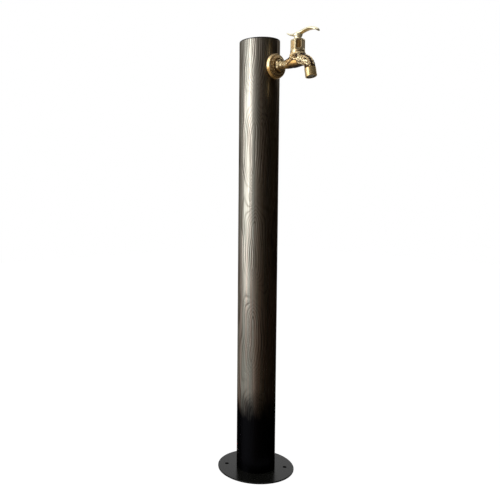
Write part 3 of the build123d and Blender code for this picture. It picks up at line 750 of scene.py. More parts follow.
# %% [markdown]
# Relief on such a tap was modelled on the founder's pattern by laying tapered rolls of wax, and it is
# built the same way here. A stroke is a line of points with a half-width at each, laid smoothly through
# a few knots.

# %% Strokes
stroke_step = 0.15


def smooth_through(where, stations, values):
    """A smooth curve through values given at stations, read wherever asked."""
    stations = np.asarray(stations, float)
    values = np.asarray(values, float)
    slopes = np.gradient(values, stations)
    left = np.clip(np.searchsorted(stations, where) - 1, 0, len(stations) - 2)
    gap = stations[left + 1] - stations[left]
    t = np.clip((where - stations[left]) / gap, 0, 1)
    start = values[left] * (1 + 2 * t) * (1 - t) ** 2 + slopes[left] * gap * t * (1 - t) ** 2
    return start + values[left + 1] * t**2 * (3 - 2 * t) - slopes[left + 1] * gap * t**2 * (1 - t)


def draw_stroke(knots, half_widths):
    """A smooth stroke through a few knots, as close-set points with a half-width at each."""
    knots = np.asarray(knots, float)
    marks = np.arange(len(knots))
    length = np.linalg.norm(np.diff(knots, axis=0), axis=1).sum()
    where = np.linspace(0, len(knots) - 1, max(int(length / stroke_step), 2))
    points = np.stack([smooth_through(where, marks, column) for column in knots.T], -1)
    spread = np.linspace(0, len(knots) - 1, len(half_widths))
    return points, np.interp(where, spread, half_widths)


print("a stroke of 3 mm has", len(draw_stroke([(0, 0), (3, 0)], (0.5, 0.5))[0]), "points")

# %% [markdown]
# Scrolls and leaves are made of strokes, as in a carver's pattern book: a scroll is a spiral that winds
# in to a bead, and a leaf is a fan of pointed lobes, of which the outer ones are shorter.

# %% Scrolls and leaves


def draw_scroll(centre, radius, start, turns, half_width, eye):
    """A spiral that winds in from a start angle to a bead at its eye."""
    share = np.linspace(0, 1, int(9 * abs(turns)) + 3)
    angle = start + turns * tau * share
    reach = radius * (1 - share) + eye * 0.9 * share
    knots = np.stack([centre[0] + reach * np.cos(angle), centre[1] + reach * np.sin(angle)], -1)
    bead = (np.array([centre]), np.array([eye]))
    return [draw_stroke(knots, (half_width, half_width * 0.7)), bead]


def draw_leaf(base, heading, length, lobes, spread, half_width):
    """A fan of pointed lobes from one base."""
    strokes = []
    for lobe in range(lobes):
        share = lobe / (lobes - 1) * 2 - 1 if lobes > 1 else 0
        way = heading + share * spread
        reach = length * (1 - 0.3 * abs(share))
        tip = (base[0] + reach * math.cos(way), base[1] + reach * math.sin(way))
        bow = way + share * 0.35
        middle = (base[0] + reach * 0.5 * math.cos(bow), base[1] + reach * 0.5 * math.sin(bow))
        widths = (half_width * 0.5, half_width, half_width * 0.8, half_width * 0.15)
        strokes.append(draw_stroke((base, middle, tip), widths))
    return strokes


print("a leaf of three lobes has", len(draw_leaf((0, 0), 0, 4.0, 3, 0.5, 0.6)), "strokes")

# %% [markdown]
# Near a stroke the surface stands up in a round section, and where strokes cross the higher one wins.
# How near is counted in half-widths. A thin stroke stays lower than a thick one, as a roll of wax does.

# %% Relief from strokes
full_half_width = 0.7
highest = 1.15


def raise_strokes(points, strokes):
    """How far each point stands up, from 0 to 1, where full height needs a stroke of full width."""
    relief = np.zeros(len(points))
    for line, half_widths in strokes:
        margin = half_widths.max()
        inside = (points > line.min(0) - margin) & (points < line.max(0) + margin)
        near = np.flatnonzero(inside.all(1))
        if len(near):
            gaps = np.linalg.norm(points[near, None] - line[None], axis=2) / half_widths
            closest = gaps.argmin(1)
            share = np.clip(1 - gaps.min(1) ** 2, 0, 1) ** 0.5
            height = share * np.minimum(half_widths[closest] / full_half_width, highest)
            relief[near] = np.maximum(relief[near], height)
    return relief


print("a stroke stands to full height from a half-width of", full_half_width, "mm")

# %% [markdown]
# The flange is a cast rosette that domes up from a smooth rolled rim to the tap's collar. It is spun
# from one outline round the tap's axis: over the dome and the rim, and back along the hollow side that
# sits against the post.

# %% Outline of the wall flange
flange_radius = (flange_high.z - flange_low.z) / 2 / mm
flange_web = 9.0
flange_roll = 5.4
dome_foot_radius = flange_radius - 4.4
dome_foot = 4.8
dome_shoulder_radius = 12.8
dome_middle = (dome_shoulder_radius + dome_foot_radius) / 2
flange_bore_radius = 10.8
back_groove = 2.0
flange_corners = (
    (flange_bore_radius, flange_web, 0), (dome_shoulder_radius, flange_web, 0.8),
    (dome_middle + 0.9, flange_web - 1.3, 3.0), (dome_foot_radius, dome_foot, 0.5),
    (flange_radius - 3.2, flange_roll + 0.2, 0.9), (flange_radius - 2.0, flange_roll - 0.2, 1.2),
    (flange_radius - 0.2, 0.6, 0.6), (flange_radius - 0.4, 0, 0.2), (flange_radius - 3.4, 0, 0),
    (flange_radius - 5.4, back_groove, 0), (15.3, back_groove, 0), (13.3, 0, 0),
    (flange_bore_radius, 0, 0),
)
flange_columns = 360
flange_outline = walk_outline(flange_corners, 0.3)
flange_vertices = spin_outline(
    flange_outline, (flange_low.x, 0, tap_z), (1, 0, 0), flange_columns
)
print("the flange's outline has", len(flange_outline), "points")

# %% [markdown]
# The slope of the dome carries a ring of small scrolls with leaves between them, and a row of beads runs
# round its foot. The strokes are drawn flat, as seen from the front, and only lift the points that face
# that way. They are high enough to show along the dome's edge, which bump would not. Polish reaches the
# strokes and the rim, and the hollows of the dome are left dark.

# %% Relief of the wall flange
scroll_count = 14
scroll_circle = 15.9
leaf_circle = 13.6
bead_count = 46
bead_circle = 18.9
bead_radius = 0.8
flange_relief = 0.7
flange_strokes = []
for number in range(scroll_count):
    middle = tau * number / scroll_count
    centre = (scroll_circle * math.cos(middle), scroll_circle * math.sin(middle))
    hand = 1 if number % 2 else -1
    flange_strokes += draw_scroll(centre, 1.9, middle + hand * 1.9, hand * 1.4, 0.4, 0.55)
    gap_angle = middle + tau / scroll_count / 2
    base = (leaf_circle * math.cos(gap_angle), leaf_circle * math.sin(gap_angle))
    flange_strokes += draw_leaf(base, gap_angle, 4.0, 3, 0.5, 0.55)
for number in range(bead_count):
    way = tau * number / bead_count
    bead = (bead_circle * math.cos(way), bead_circle * math.sin(way))
    flange_strokes.append((np.array([bead]), np.array([bead_radius])))

flat_place = np.stack([flange_vertices[:, 1], flange_vertices[:, 2] - tap_z], -1) / mm
reach = np.hypot(*flat_place.T)
in_front = (flange_vertices[:, 0] - flange_low.x) / mm > back_groove
relief = raise_strokes(flat_place, flange_strokes) * in_front
flange_vertices[:, 0] += relief * flange_relief * mm
flange = make_object(
    "relief_flange", flange_vertices, ring_faces(len(flange_outline), flange_columns)
)
dome = np.clip((19.6 - reach) / 0.6, 0, 1) * in_front
lower_rim = np.clip((-flat_place[:, 1] - 2.0) / 8.0, 0, 1)
set_patina(flange, dome * (0.8 - relief * 1.15) + (1 - dome) * (0.34 + 0.26 * lower_rim))
flange.data.materials.append(cast_brass)
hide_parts("wall_flange")
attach(flange, "standpipe")
print("the flange carries", len(flange_strokes), "strokes")

# %% [markdown]
# A casting has no sharp inner corners: metal that flows needs a fillet wherever two forms meet. Bevels
# on joined meshes often fail there. So the tap's castings are described by fields, formulas that are
# negative inside a form and positive outside. Two fields join with a fillet by a smooth minimum, and
# the same with its signs turned trims an edge.

# %% Fields with fillets


def ease(share):
    """A soft step from 0 to 1."""
    share = np.clip(share, 0, 1)
    return share * share * (3 - 2 * share)


def join(first, second, fillet):
    """Both forms in one, with a fillet where they meet."""
    share = np.clip(0.5 + 0.5 * (second - first) / fillet, 0, 1)
    return second + (first - second) * share - fillet * share * (1 - share)


def trim(form, cutter, rounding):
    """What two forms share, with a rounded edge where one cuts the other."""
    return -join(-form, -cutter, rounding)


def hexagon(u, v, across, turn):
    """Field of a hexagonal bar with one flat facing the angle turn."""
    angles = [turn + math.radians(60) * side for side in range(3)]
    return np.maximum.reduce([abs(u * math.cos(a) + v * math.sin(a)) for a in angles]) - across / 2


print("where two fields are both 1 mm, a fillet of 2 mm makes it", float(join(1.0, 1.0, 2.0)), "mm")

# %% [markdown]
# A point is pulled onto the surface of a form by following the field downhill. The field's slope is
# measured by a small nudge along each axis, and the same slope, made one long, is the surface's normal.

# %% Pull points onto a form
nudge = 0.02
longest_move = 0.5


def pull_onto(field, points, times):
    """Moves points onto the field's zero surface, and gives the surface's normals there."""
    for _ in range(times):
        slope = np.stack(
            [
                (field(points + nudge * step) - field(points - nudge * step)) / (2 * nudge)
                for step in np.eye(3)
            ],
            -1,
        )
        steep = (slope**2).sum(1) + 1e-9
        move = np.clip(field(points) / steep, -longest_move, longest_move)
        points = points - move[:, None] * slope
    return points, slope / np.sqrt(steep)[:, None]


def ball_field(points):
    """A ball of 2 mm radius, to try things on."""
    return np.linalg.norm(points, axis=1) - 2.0


pulled = pull_onto(ball_field, np.array([[3.0, 0.0, 0.0]]), 3)[0]
print("a point 3 mm out, pulled onto a ball of 2 mm, comes to", pulled[0].round(3))

# %% [markdown]
# A net of quads is thrown over the surface of a form. Space is cut into small cubes, and a cube gets one
# point if the surface crosses it, which is when some of its eight corners are inside the form and some
# are not. A remesh modifier works much like this, but it starts from a mesh, and a field has none yet.

# %% Cubes that the surface crosses


def sample_inside(field, low, high, cell):
    """Which corners of a grid of cubes are inside a form. One sheet at a time saves memory."""
    counts = [int((top - bottom) / cell) + 2 for bottom, top in zip(low, high)]
    ticks = [bottom + cell * np.arange(count) for bottom, count in zip(low, counts)]
    inside = np.empty(counts, bool)
    for number, x in enumerate(ticks[0]):
        sheet = np.stack(np.meshgrid([x], ticks[1], ticks[2], indexing="ij"), -1)
        inside[number] = (field(sheet.reshape(-1, 3)) < 0).reshape(counts[1:])
    return inside


def number_crossed(inside):
    """Numbers the cubes that the surface crosses, and gives all others -1."""
    x, y, z = inside.shape
    filled = sum(
        inside[i: x - 1 + i, j: y - 1 + j, k: z - 1 + k].astype(np.int8)
        for i in (0, 1) for j in (0, 1) for k in (0, 1)
    )
    crossed = (filled > 0) & (filled < 8)
    index = np.full(crossed.shape, -1)
    index[crossed] = np.arange(crossed.sum())
    return index


ball_inside = sample_inside(ball_field, (-3, -3, -3), (3, 3, 3), 0.5)
ball_index = number_crossed(ball_inside)
print("the ball's surface crosses", ball_index.max() + 1, "cubes of half a millimetre")

# %% [markdown]
# Where an edge of the cubes has one end inside the form and one outside, the surface cuts it. The four
# cubes round such an edge share a quad, and their points are its corners. The quad is turned round where
# the edge enters the form instead of leaving it, so that all quads face the same way.

# %% Quads between the cubes


def quads_between(inside, index):
    """A quad for every edge that the surface cuts, as the numbers of four cubes."""
    quads = []
    for axis in range(3):
        edges = np.argwhere(inside != np.roll(inside, -1, axis))
        others = [(axis + 1) % 3, (axis + 2) % 3]
        kept = (edges < np.array(inside.shape) - 1).all(1) & (edges[:, others] > 0).all(1)
        edges = edges[kept]
        ring = []
        for u, v in ((0, 0), (-1, 0), (-1, -1), (0, -1)):
            corner = edges.copy()
            corner[:, others[0]] += u
            corner[:, others[1]] += v
            ring.append(index[tuple(corner.T)])
        ring = np.stack(ring, -1)
        leaving = inside[tuple(edges.T)]
        quads.append(np.where(leaving[:, None], ring, ring[:, ::-1]))
    return np.concatenate(quads)


print("its net has", len(quads_between(ball_inside, ball_index)), "quads")

# %% [markdown]
# So far each point sits in the middle of its cube, which looks like stairs. The points are pulled onto
# the surface, then a few times moved towards the middle of their neighbours and pulled tight again.

# %% Throw a net over a form
kept_share = 0.4
evening_rounds = 4


def throw_net(field, low, high, cell):
    """Points, normals and quads over the zero surface of a field, inside a box."""
    inside = sample_inside(field, low, high, cell)
    index = number_crossed(inside)
    quads = quads_between(inside, index)
    # Links run both ways between neighbouring points, and give each point the middle of its neighbours
    links = np.concatenate([quads[:, [k, (k + 1) % 4]] for k in range(4)])
    links = np.concatenate([links, links[:, ::-1]])
    points = (np.argwhere(index >= 0) + 0.5) * cell + np.array(low)
    degree = np.bincount(links[:, 0], minlength=len(points))[:, None]
    points = pull_onto(field, points, 2)[0]
    for _ in range(evening_rounds):
        middles = np.stack(
            [np.bincount(links[:, 0], points[links[:, 1], axis], len(points)) for axis in range(3)], -1
        )
        evened = points * kept_share + middles / degree * (1 - kept_share)
        points = pull_onto(field, evened, 1)[0]
    points, normals = pull_onto(field, points, 2)
    return points, normals, quads


def to_metres(points):
    """From millimetres about the crossing of tap axis and valve axis to metres in the frame."""
    return points * mm + np.array((valve_x, 0, tap_z))


ball_points = throw_net(ball_field, (-3, -3, -3), (3, 3, 3), 0.5)[0]
print("the ball's points lie at most", abs(ball_field(ball_points)).max().round(6), "mm off its surface")

# %% [markdown]
# The tap body is one casting. From the collar, a hexagon that the spanner grips, runs a plain round
# neck. It swells into the belly under the valve. The chamber rises from it, oval below and round above,
# and the spout leaves it, bends down and ends in a short shoulder above the sleeve. Places here are in
# millimetres from the point where the tap's axis crosses the valve's.

# %% Sizes of the tap body
collar_back = (flange_low.x - valve_x) / mm + flange_web
collar_length = 5.5
collar_across = 20.6
collar_corner_radius = 11.7
body_fillet = 2.5
neck_stations = (-40.0, -33.0, -27.0, -20.0, -10.0, 0.0, 7.0)
neck_radii = (7.2, 7.2, 8.0, 9.2, 10.3, 10.0, 8.2)
neck_drops = (0.0, 0.2, 1.1, 0.7, 0.1, 0.2, 0.8)
spout_drop = 1.2
spout_radius = 9.0
bend_x = 13.0
bend_radius = 15.5
spout_turn = math.radians(78.5)
spout_shoulder = 3.5
spout_start = -7.0
bend_z = -spout_drop - bend_radius
bend_length = bend_radius * spout_turn
spout_length = bend_x + bend_length + spout_shoulder
nozzle_way = np.array((math.cos(spout_turn), 0, -math.sin(spout_turn)))
nozzle_out = np.array((math.sin(spout_turn), 0, math.cos(spout_turn)))
bend_end = np.array((bend_x, 0, bend_z)) + bend_radius * nozzle_out
nozzle_origin = bend_end + spout_shoulder * nozzle_way
chamber_top = 17.5
chamber_heights = (-2.8, 3.5, 8.2, 12.95, 17.5)
chamber_lengths = (22.9, 20.5, 16.9, 13.2, 12.5)
chamber_widths = (7.6, 9.8, 11.8, 12.5, 12.5)
ring_radius = 12.9
ring_height = 4.6
ring_foot = chamber_top - ring_height
print("the spout's centre line is", round(spout_length, 1), "mm long from the valve's axis")

# %% [markdown]
# The spout is a tube that bends, so each point is placed along its centre line and off it. There are
# three stretches: straight out of the chamber, round the bend, and straight again past its end.

# %% Along the spout


def follow_spout(points):
    """Length along the centre line, and how far off it towards the outside of the bend."""
    x, _, z = points.T
    angle = np.arctan2(x - bend_x, z - bend_z)
    past = (points - bend_end) @ nozzle_way
    bending = (x > bend_x) & (angle < spout_turn)
    beyond = (x > bend_x) & (angle >= spout_turn)
    along = np.where(beyond, bend_x + bend_length + past, x)
    along = np.where(bending, bend_x + bend_radius * angle, along)
    arc_off = np.hypot(x - bend_x, z - bend_z) - bend_radius
    off = np.where(bending, arc_off, np.where(beyond, (points - bend_end) @ nozzle_out, z + spout_drop))
    return along, off


sleeve_start = follow_spout(nozzle_origin[None])[0][0]
print("the sleeve begins", round(float(sleeve_start), 1), "mm along the spout")

# %% [markdown]
# Each part of the casting is a field of its own. The neck and the chamber are round and oval sections
# that change along a line, and the spout is a tube round its centre line. The ring under the bonnet
# and the collar's hexagon are trimmed bars. Joined with fillets, they make one casting.

# %% Tap body as a field


def neck_field(points):
    """The neck and the belly: round sections that sink a little below the tap's axis."""
    x, y, z = points.T
    radius = smooth_through(x, neck_stations, neck_radii)
    sunk = z + smooth_through(x, neck_stations, neck_drops)
    return trim(np.hypot(y, sunk) - radius, np.maximum(x - neck_stations[-1], collar_back - x), 1.0)


def spout_field(points):
    """The spout: a tube round its centre line, from inside the chamber to the sleeve."""
    along, off = follow_spout(points)
    tube = np.hypot(off, points[:, 1]) - spout_radius
    return trim(tube, np.maximum(spout_start - along, along - spout_length), 0.3)


def chamber_field(points):
    """The chamber: oval sections below that turn round towards the top."""
    x, y, z = points.T
    length = smooth_through(z, chamber_heights, chamber_lengths)
    width = smooth_through(z, chamber_heights, chamber_widths)
    oval = (np.sqrt((x / length) ** 2 + (y / width) ** 2) - 1) * width
    return trim(oval, np.maximum(z - chamber_top, chamber_heights[0] - z), 0.4)


def body_field(points):
    """The whole casting."""
    x, y, z = points.T
    beside_ring = abs(z - chamber_top + ring_height / 2) - ring_height / 2
    ring = trim(np.hypot(x, y) - ring_radius, beside_ring, 0.7)
    collar_middle = collar_back + collar_length / 2
    nut = trim(hexagon(y, z, collar_across, 0.0), np.hypot(y, z) - collar_corner_radius, 0.5)
    nut = trim(nut, abs(x - collar_middle) - collar_length / 2, 0.5)
    form = join(neck_field(points), spout_field(points), body_fillet)
    form = join(form, chamber_field(points), body_fillet)
    form = join(form, ring, 0.8)
    return join(form, nut, 1.0)


at_crossing = body_field(np.zeros((1, 3)))[0]
print("where the two axes cross, the body's field is", round(float(at_crossing), 1))

# %% [markdown]
# One net covers the whole casting.

# %% Net of the tap body
net_cell = 0.29
body_low = (collar_back - 1, -14, nozzle_origin[2] - 5)
body_high = (nozzle_origin[0] + 12, 14, chamber_top + 1)
body_points, body_normals, body_quads = throw_net(body_field, body_low, body_high, net_cell)
print("the body's net has", len(body_quads), "quads")

# %% [markdown]
# The relief is a running vine, as on many old garden taps. It is drawn flat, in millimetres along and
# across a band, and wrapped round the casting's own centre line: the place across becomes an angle, and
# a ray at that angle finds the surface. Halving the ray again and again is slow but never misses.

# %% A band round the casting
band_stations = (-28.0, -20.0, -12.0, 0.0, 8.0, 14.0, 22.0, 37.0)
band_angles = np.radians((84.0, 80.0, 72.0, 59.0, 76.0, 84.0, 84.0, 84.0))
band_reaches = (8.6, 9.4, 10.6, 15.0, 11.2, 9.6, 9.0, 9.0)
ray_length = 24.0
halvings = 22


def on_bend(along):
    """The angle round the bend at a length along the spout, the centre there, and the way out."""
    bend = np.clip((along - bend_x) / bend_radius, 0, spout_turn)
    out = np.stack([np.sin(bend), 0 * bend, np.cos(bend)], -1)
    return bend, np.array((bend_x, 0, bend_z)) + bend_radius * out, out


def wrap_on(flat, side):
    """Points on the casting for places along and across the band, on one side of it."""
    along, across = flat.T
    angle = smooth_through(along, band_stations, band_angles)
    angle = angle - across / smooth_through(along, band_stations, band_reaches)
    bend, centre, out = on_bend(along)
    spare = along - bend_x - bend * bend_radius
    centre = centre + spare[:, None] * np.stack([np.cos(bend), 0 * bend, -np.sin(bend)], -1)
    ray = out * np.cos(angle)[:, None] + np.array((0, side, 0)) * np.sin(angle)[:, None]
    near, far = np.zeros(len(flat)), np.full(len(flat), ray_length)
    for _ in range(halvings):
        middle = (near + far) / 2
        within = body_field(centre + ray * middle[:, None]) < 0
        near = np.where(within, middle, near)
        far = np.where(within, far, middle)
    return centre + ray * near[:, None]


print("a ray is followed to within", ray_length / 2**halvings, "mm")

# %% [markdown]
# On each side a stem waves from the neck, over the chamber and down the spout. A scroll with a bead
# winds into each wave, and leaves of two and three lobes fill the crests and the joints between them.
# On the spout, smaller scrolls and leaves fill the rest of the band.

# %% Strokes of the vine
wave_pitch = 9.0
wave_height = 2.5
first_wave = -17.0
wave_count = 6
stem = []
flat_strokes = []
for number in range(wave_count):
    crest = first_wave + wave_pitch * number
    side = 1 if number % 2 else -1
    stem += [(crest - wave_pitch / 2, 0), (crest, side * wave_height)]
    start_angle = math.pi if side > 0 else -math.pi
    flat_strokes += draw_scroll((crest + 0.3, -side * 1.1), 3.5, start_angle, -side * 1.6, 0.62, 0.95)
    flat_strokes += draw_leaf((crest, side * wave_height), side * math.pi / 2, 4.0, 3, 0.95, 0.85)
    joint = crest + wave_pitch / 2
    flat_strokes += draw_leaf((joint, side * 0.6), side * 1.1, 4.6, 3, 0.45, 0.7)
    flat_strokes += draw_leaf((joint - 0.6, side * 3.4), side * 1.9, 3.2, 2, 0.4, 0.6)
for place_along in np.arange(9.0, spout_length, 3.6):
    flat_strokes += draw_scroll((place_along, -7.6), 1.9, math.pi / 2, 1.3, 0.5, 0.65)
    flat_strokes += draw_leaf((place_along + 1.4, -8.6), -math.pi / 2, 4.0, 3, 0.6, 0.6)
    flat_strokes += draw_scroll((place_along + 1.8, 6.2), 1.9, 0, -1.3, 0.5, 0.7)
stem.append((first_wave + wave_pitch * (wave_count - 0.5), 0))
flat_strokes.append(draw_stroke(stem, (0.5, 0.75, 0.75, 0.7)))
print("the flat vine has", len(flat_strokes), "strokes")

# %% [markdown]
# The flat strokes are wrapped onto both sides of the casting. A row of leaves along the spout's back
# joins the two sides, and another row hangs all round from the ring under the bonnet.

# %% The vine on the casting
stroke_weight = 0.82
hanging_leaves = 24
vine = []
for side in (-1, 1):
    for line, half_widths in flat_strokes:
        vine.append((wrap_on(line, side), half_widths * stroke_weight))
ridge_leaves = []
for place_along in np.arange(13.0, spout_length - 1, 3.8):
    ridge_leaves += draw_leaf((place_along, 0), 0, 4.4, 3, 0.75, 0.75)
for line, half_widths in ridge_leaves:
    angle = line[:, 1] / spout_radius
    _, middle, out = on_bend(line[:, 0])
    out = out * np.cos(angle)[:, None] + np.array((0, 1, 0)) * np.sin(angle)[:, None]
    vine.append((pull_onto(body_field, middle + spout_radius * out, 2)[0], half_widths))
hanging_leaf = draw_leaf((0, ring_foot - 0.2), -math.pi / 2, 4.4, 3, 0.7, 0.7)
for number in range(hanging_leaves):
    middle = tau * number / hanging_leaves
    for line, half_widths in hanging_leaf:
        angle = middle + line[:, 0] / ring_radius
        spots = np.stack([ring_radius * np.cos(angle), ring_radius * np.sin(angle), line[:, 1]], -1)
        vine.append((pull_onto(body_field, spots, 3)[0], half_widths))
print("the vine has", len(vine), "strokes")

# %% [markdown]
# The strokes lift the net's points along their normals. The relief stops under the ring, which was
# turned on a lathe after casting.

# %% Vine in relief
relief_height = 0.85
relief = raise_strokes(body_points, vine)
relief *= ease((ring_foot + 0.4 - body_points[:, 2]) / 0.6)
lifted = body_points + body_normals * relief[:, None] * relief_height
body = make_object("cast_body", to_metres(lifted), body_quads)
print("the relief covers", round(float((relief > 0).mean()), 2), "of the body's points")

# %% [markdown]
# The patina differs by zone. In the vine's zone, what stands up is polished and the ground between is
# dark, and the polish is stronger on the spout, where hands and buckets pass. The neck is plain and
# pale, and the belly is browner. On both, what faces the ground is painted darker as shade.

# %% Patina of the body
spout_from = 4.0
along, off = follow_spout(body_points)
angle = np.arctan2(abs(body_points[:, 1]), off)
band_angle = smooth_through(along, band_stations, band_angles)
across = (band_angle - angle) * smooth_through(along, band_stations, band_reaches)
zone_depth = 6.6 + 6.5 * ease((along - spout_from) / 4.0)
zone = ease((across + zone_depth) / 1.6) * ease((along + 22.0 + 0.6 * across) / 2.5)
zone *= ease((ring_foot + 0.5 - body_points[:, 2]) / 0.8)
belly = ease((along + 25) / 10) * (1 - zone)
# Painted shade: surfaces that face the ground are darkened on the neck and on the belly.
ground_facing_shade = np.clip(-body_normals[:, 2], 0, 1)
neck_tone = 0.02 + 0.6 * ground_facing_shade
belly_tone = 0.46 + 0.5 * ground_facing_shade
polish = 0.95 + 0.75 * ease((along - spout_from) / 6.0)
vine_tone = 0.98 - 0.98 * np.clip(relief * polish, 0, 1)
ring_zone = ease((body_points[:, 2] - ring_foot) / 0.6)
tone = neck_tone * (1 - zone - belly) + belly_tone * belly + vine_tone * zone
ring_tone = 0.3
set_patina(body, tone * (1 - ring_zone) + ring_tone * ring_zone)
body.data.materials.append(cast_brass)
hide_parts("tap_body")
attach(body, "standpipe")
print("patina runs from", round(float(tone.min()), 2), "to", round(float(tone.max()), 2))

# %% [markdown]
# Two threads complete the casting: the shank that screws into the post and the nose inside the sleeve.
# They are turned, so they are spun from a saw-tooth outline. A helix would be truer, but rings look the
# same at this size and are simpler.

# %% Threads


def thread_outline(radius, depth, start, end, pitch):
    """A closed outline of a threaded stub, from start to end along its axis."""
    turns = int((end - start) / pitch)
    root = radius - depth
    teeth = [(radius - depth * (step % 2), start + pitch * step / 2, 0) for step in range(1, 2 * turns)]
    return [(near_axis, start, 0), (root, start, 0), *teeth, (root, end, 0), (near_axis, end, 0)]


shank_length = 16.0
sunk_in = 0.2
shank = spun_piece(
    "tap_shank",
    thread_outline(radius=10.4, depth=1.1, start=-shank_length, end=sunk_in, pitch=1.8),
    to_metres(np.array((collar_back, 0, 0))), (1, 0, 0), 96, 3.0,
)
nose = spun_piece(
    "tap_nose",
    thread_outline(radius=8.25, depth=0.6, start=-sunk_in, end=7.0, pitch=1.0),
    to_metres(nozzle_origin), nozzle_way, 96, 3.0,
)
for stub in (shank, nose):
    set_patina(stub, np.full(len(stub.data.vertices), 0.25))
    stub.data.materials.append(turned_brass)
    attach(stub, "standpipe")
print("shank and nose are threaded")

# %% [markdown]
# The nozzle's sleeve is turned from bar: a plain cylinder with a rounded mouth, a fine groove above it
# and a lip inside that holds the flow straightener. It is spun, as a lathe would make it. Its patina
# gathers in the groove and at both ends, and the lip inside the mouth is painted dark as shade.

# %% Nozzle sleeve
sleeve_radius = 10.0
sleeve_length = 15.5
sleeve_bore = 8.35
lip_radius = 7.2
lip_length = 1.5
groove_floor = sleeve_radius - 0.4
groove_place = sleeve_length - 2.6
sleeve = spun_piece(
    "turned_sleeve",
    [
        (sleeve_bore, 0, 0), (sleeve_radius - 0.7, 0, 0.15), (sleeve_radius, 0.7, 0.3),
        (sleeve_radius, groove_place - 0.35, 0.15), (groove_floor, groove_place - 0.25, 0.08),
        (groove_floor, groove_place + 0.25, 0.08), (sleeve_radius, groove_place + 0.35, 0.15),
        (sleeve_radius, sleeve_length, 1.2), (lip_radius, sleeve_length, 0.5),
        (lip_radius, sleeve_length - lip_length, 0), (sleeve_bore, sleeve_length - lip_length, 0),
    ],
    to_metres(nozzle_origin), nozzle_way, 200, 0.5,
)
sleeve_spots = np.array([vertex.co[:] for vertex in sleeve.data.vertices])
sleeve_local = (sleeve_spots - to_metres(nozzle_origin)) / mm
sleeve_along = sleeve_local @ nozzle_way
sleeve_reach = np.linalg.norm(sleeve_local - sleeve_along[:, None] * nozzle_way, axis=1)
in_groove = np.clip(1 - abs(sleeve_along - groove_place) / 0.45, 0, 1)
near_mouth = ease((sleeve_along - sleeve_length + 0.9) / 0.8)
near_top = ease((2.2 - sleeve_along) / 2.2)
# Painted shade: the lip inside the nozzle's mouth is darkened.
lip_shade = (sleeve_reach < sleeve_bore - 0.35) * 0.5
set_patina(sleeve, 0.24 + 0.6 * in_groove + 0.3 * near_mouth + 0.3 * near_top + lip_shade)
sleeve.data.materials.append(turned_brass)
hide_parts("nozzle_sleeve")
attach(sleeve, "standpipe")
print("the sleeve has", len(sleeve.data.polygons), "faces")

# %% [markdown]
# The bonnet is a hexagonal cover. Its corners are turned off to a cone at both ends, and each face has
# a sunk panel with a raised frame. As a field it is a hexagonal bar, trimmed by a round bar, two ends
# and a cone, with six boxes cut into it. A modifier could cut the boxes too, but their edges would stay
# sharp, and on a casting they are soft.

# %% Form of the bonnet
bonnet_across = 22.6
bonnet_turn = math.radians(-39.4)
bonnet_foot = chamber_top
bonnet_top = (bonnet_high.z - tap_z) / mm
bonnet_middle = (bonnet_foot + bonnet_top) / 2
panel_half_width = 4.0
panel_half_height = 6.7
panel_depth = 0.45
bonnet_room = 13.6
bonnet_corner_radius = 12.85
bonnet_end_radius = 11.9


def bonnet_field(points):
    """The bonnet with its panels."""
    x, y, z = points.T
    half_height = (bonnet_top - bonnet_foot) / 2
    bar = trim(hexagon(x, y, bonnet_across, bonnet_turn), np.hypot(x, y) - bonnet_corner_radius, 0.5)
    slope = np.hypot(x, y) + abs(z - bonnet_middle) - half_height - bonnet_end_radius
    form = trim(trim(bar, abs(z - bonnet_middle) - half_height, 0.3), slope, 0.4)
    for side in range(6):
        angle = bonnet_turn + math.radians(60) * side
        out = x * math.cos(angle) + y * math.sin(angle)
        over = y * math.cos(angle) - x * math.sin(angle)
        panel = np.maximum(abs(over) - panel_half_width, abs(z - bonnet_middle) - panel_half_height)
        panel = np.maximum(panel, bonnet_across / 2 - panel_depth - out)
        form = trim(form, -panel, 0.25)
    return form


bonnet_cell = 0.25
bonnet_points, bonnet_normals, bonnet_quads = throw_net(
    bonnet_field,
    (-bonnet_room, -bonnet_room, bonnet_foot - 0.6),
    (bonnet_room, bonnet_room, bonnet_top + 0.6),
    bonnet_cell,
)
print("the bonnet's net has", len(bonnet_quads), "quads")

# %% [markdown]
# In each panel stands a stem with a berry on every joint and small leaves to both sides. The sunk panels
# hold patina and their berries are rubbed brighter, but how dark each face's panel is and how bright its
# berries are is set face by face as painted light and shade.

# %% Panels of the bonnet
bonnet_relief_height = 0.25
berry_gap = 1.65
berry_radius = 0.72
panel_stem = 5.9
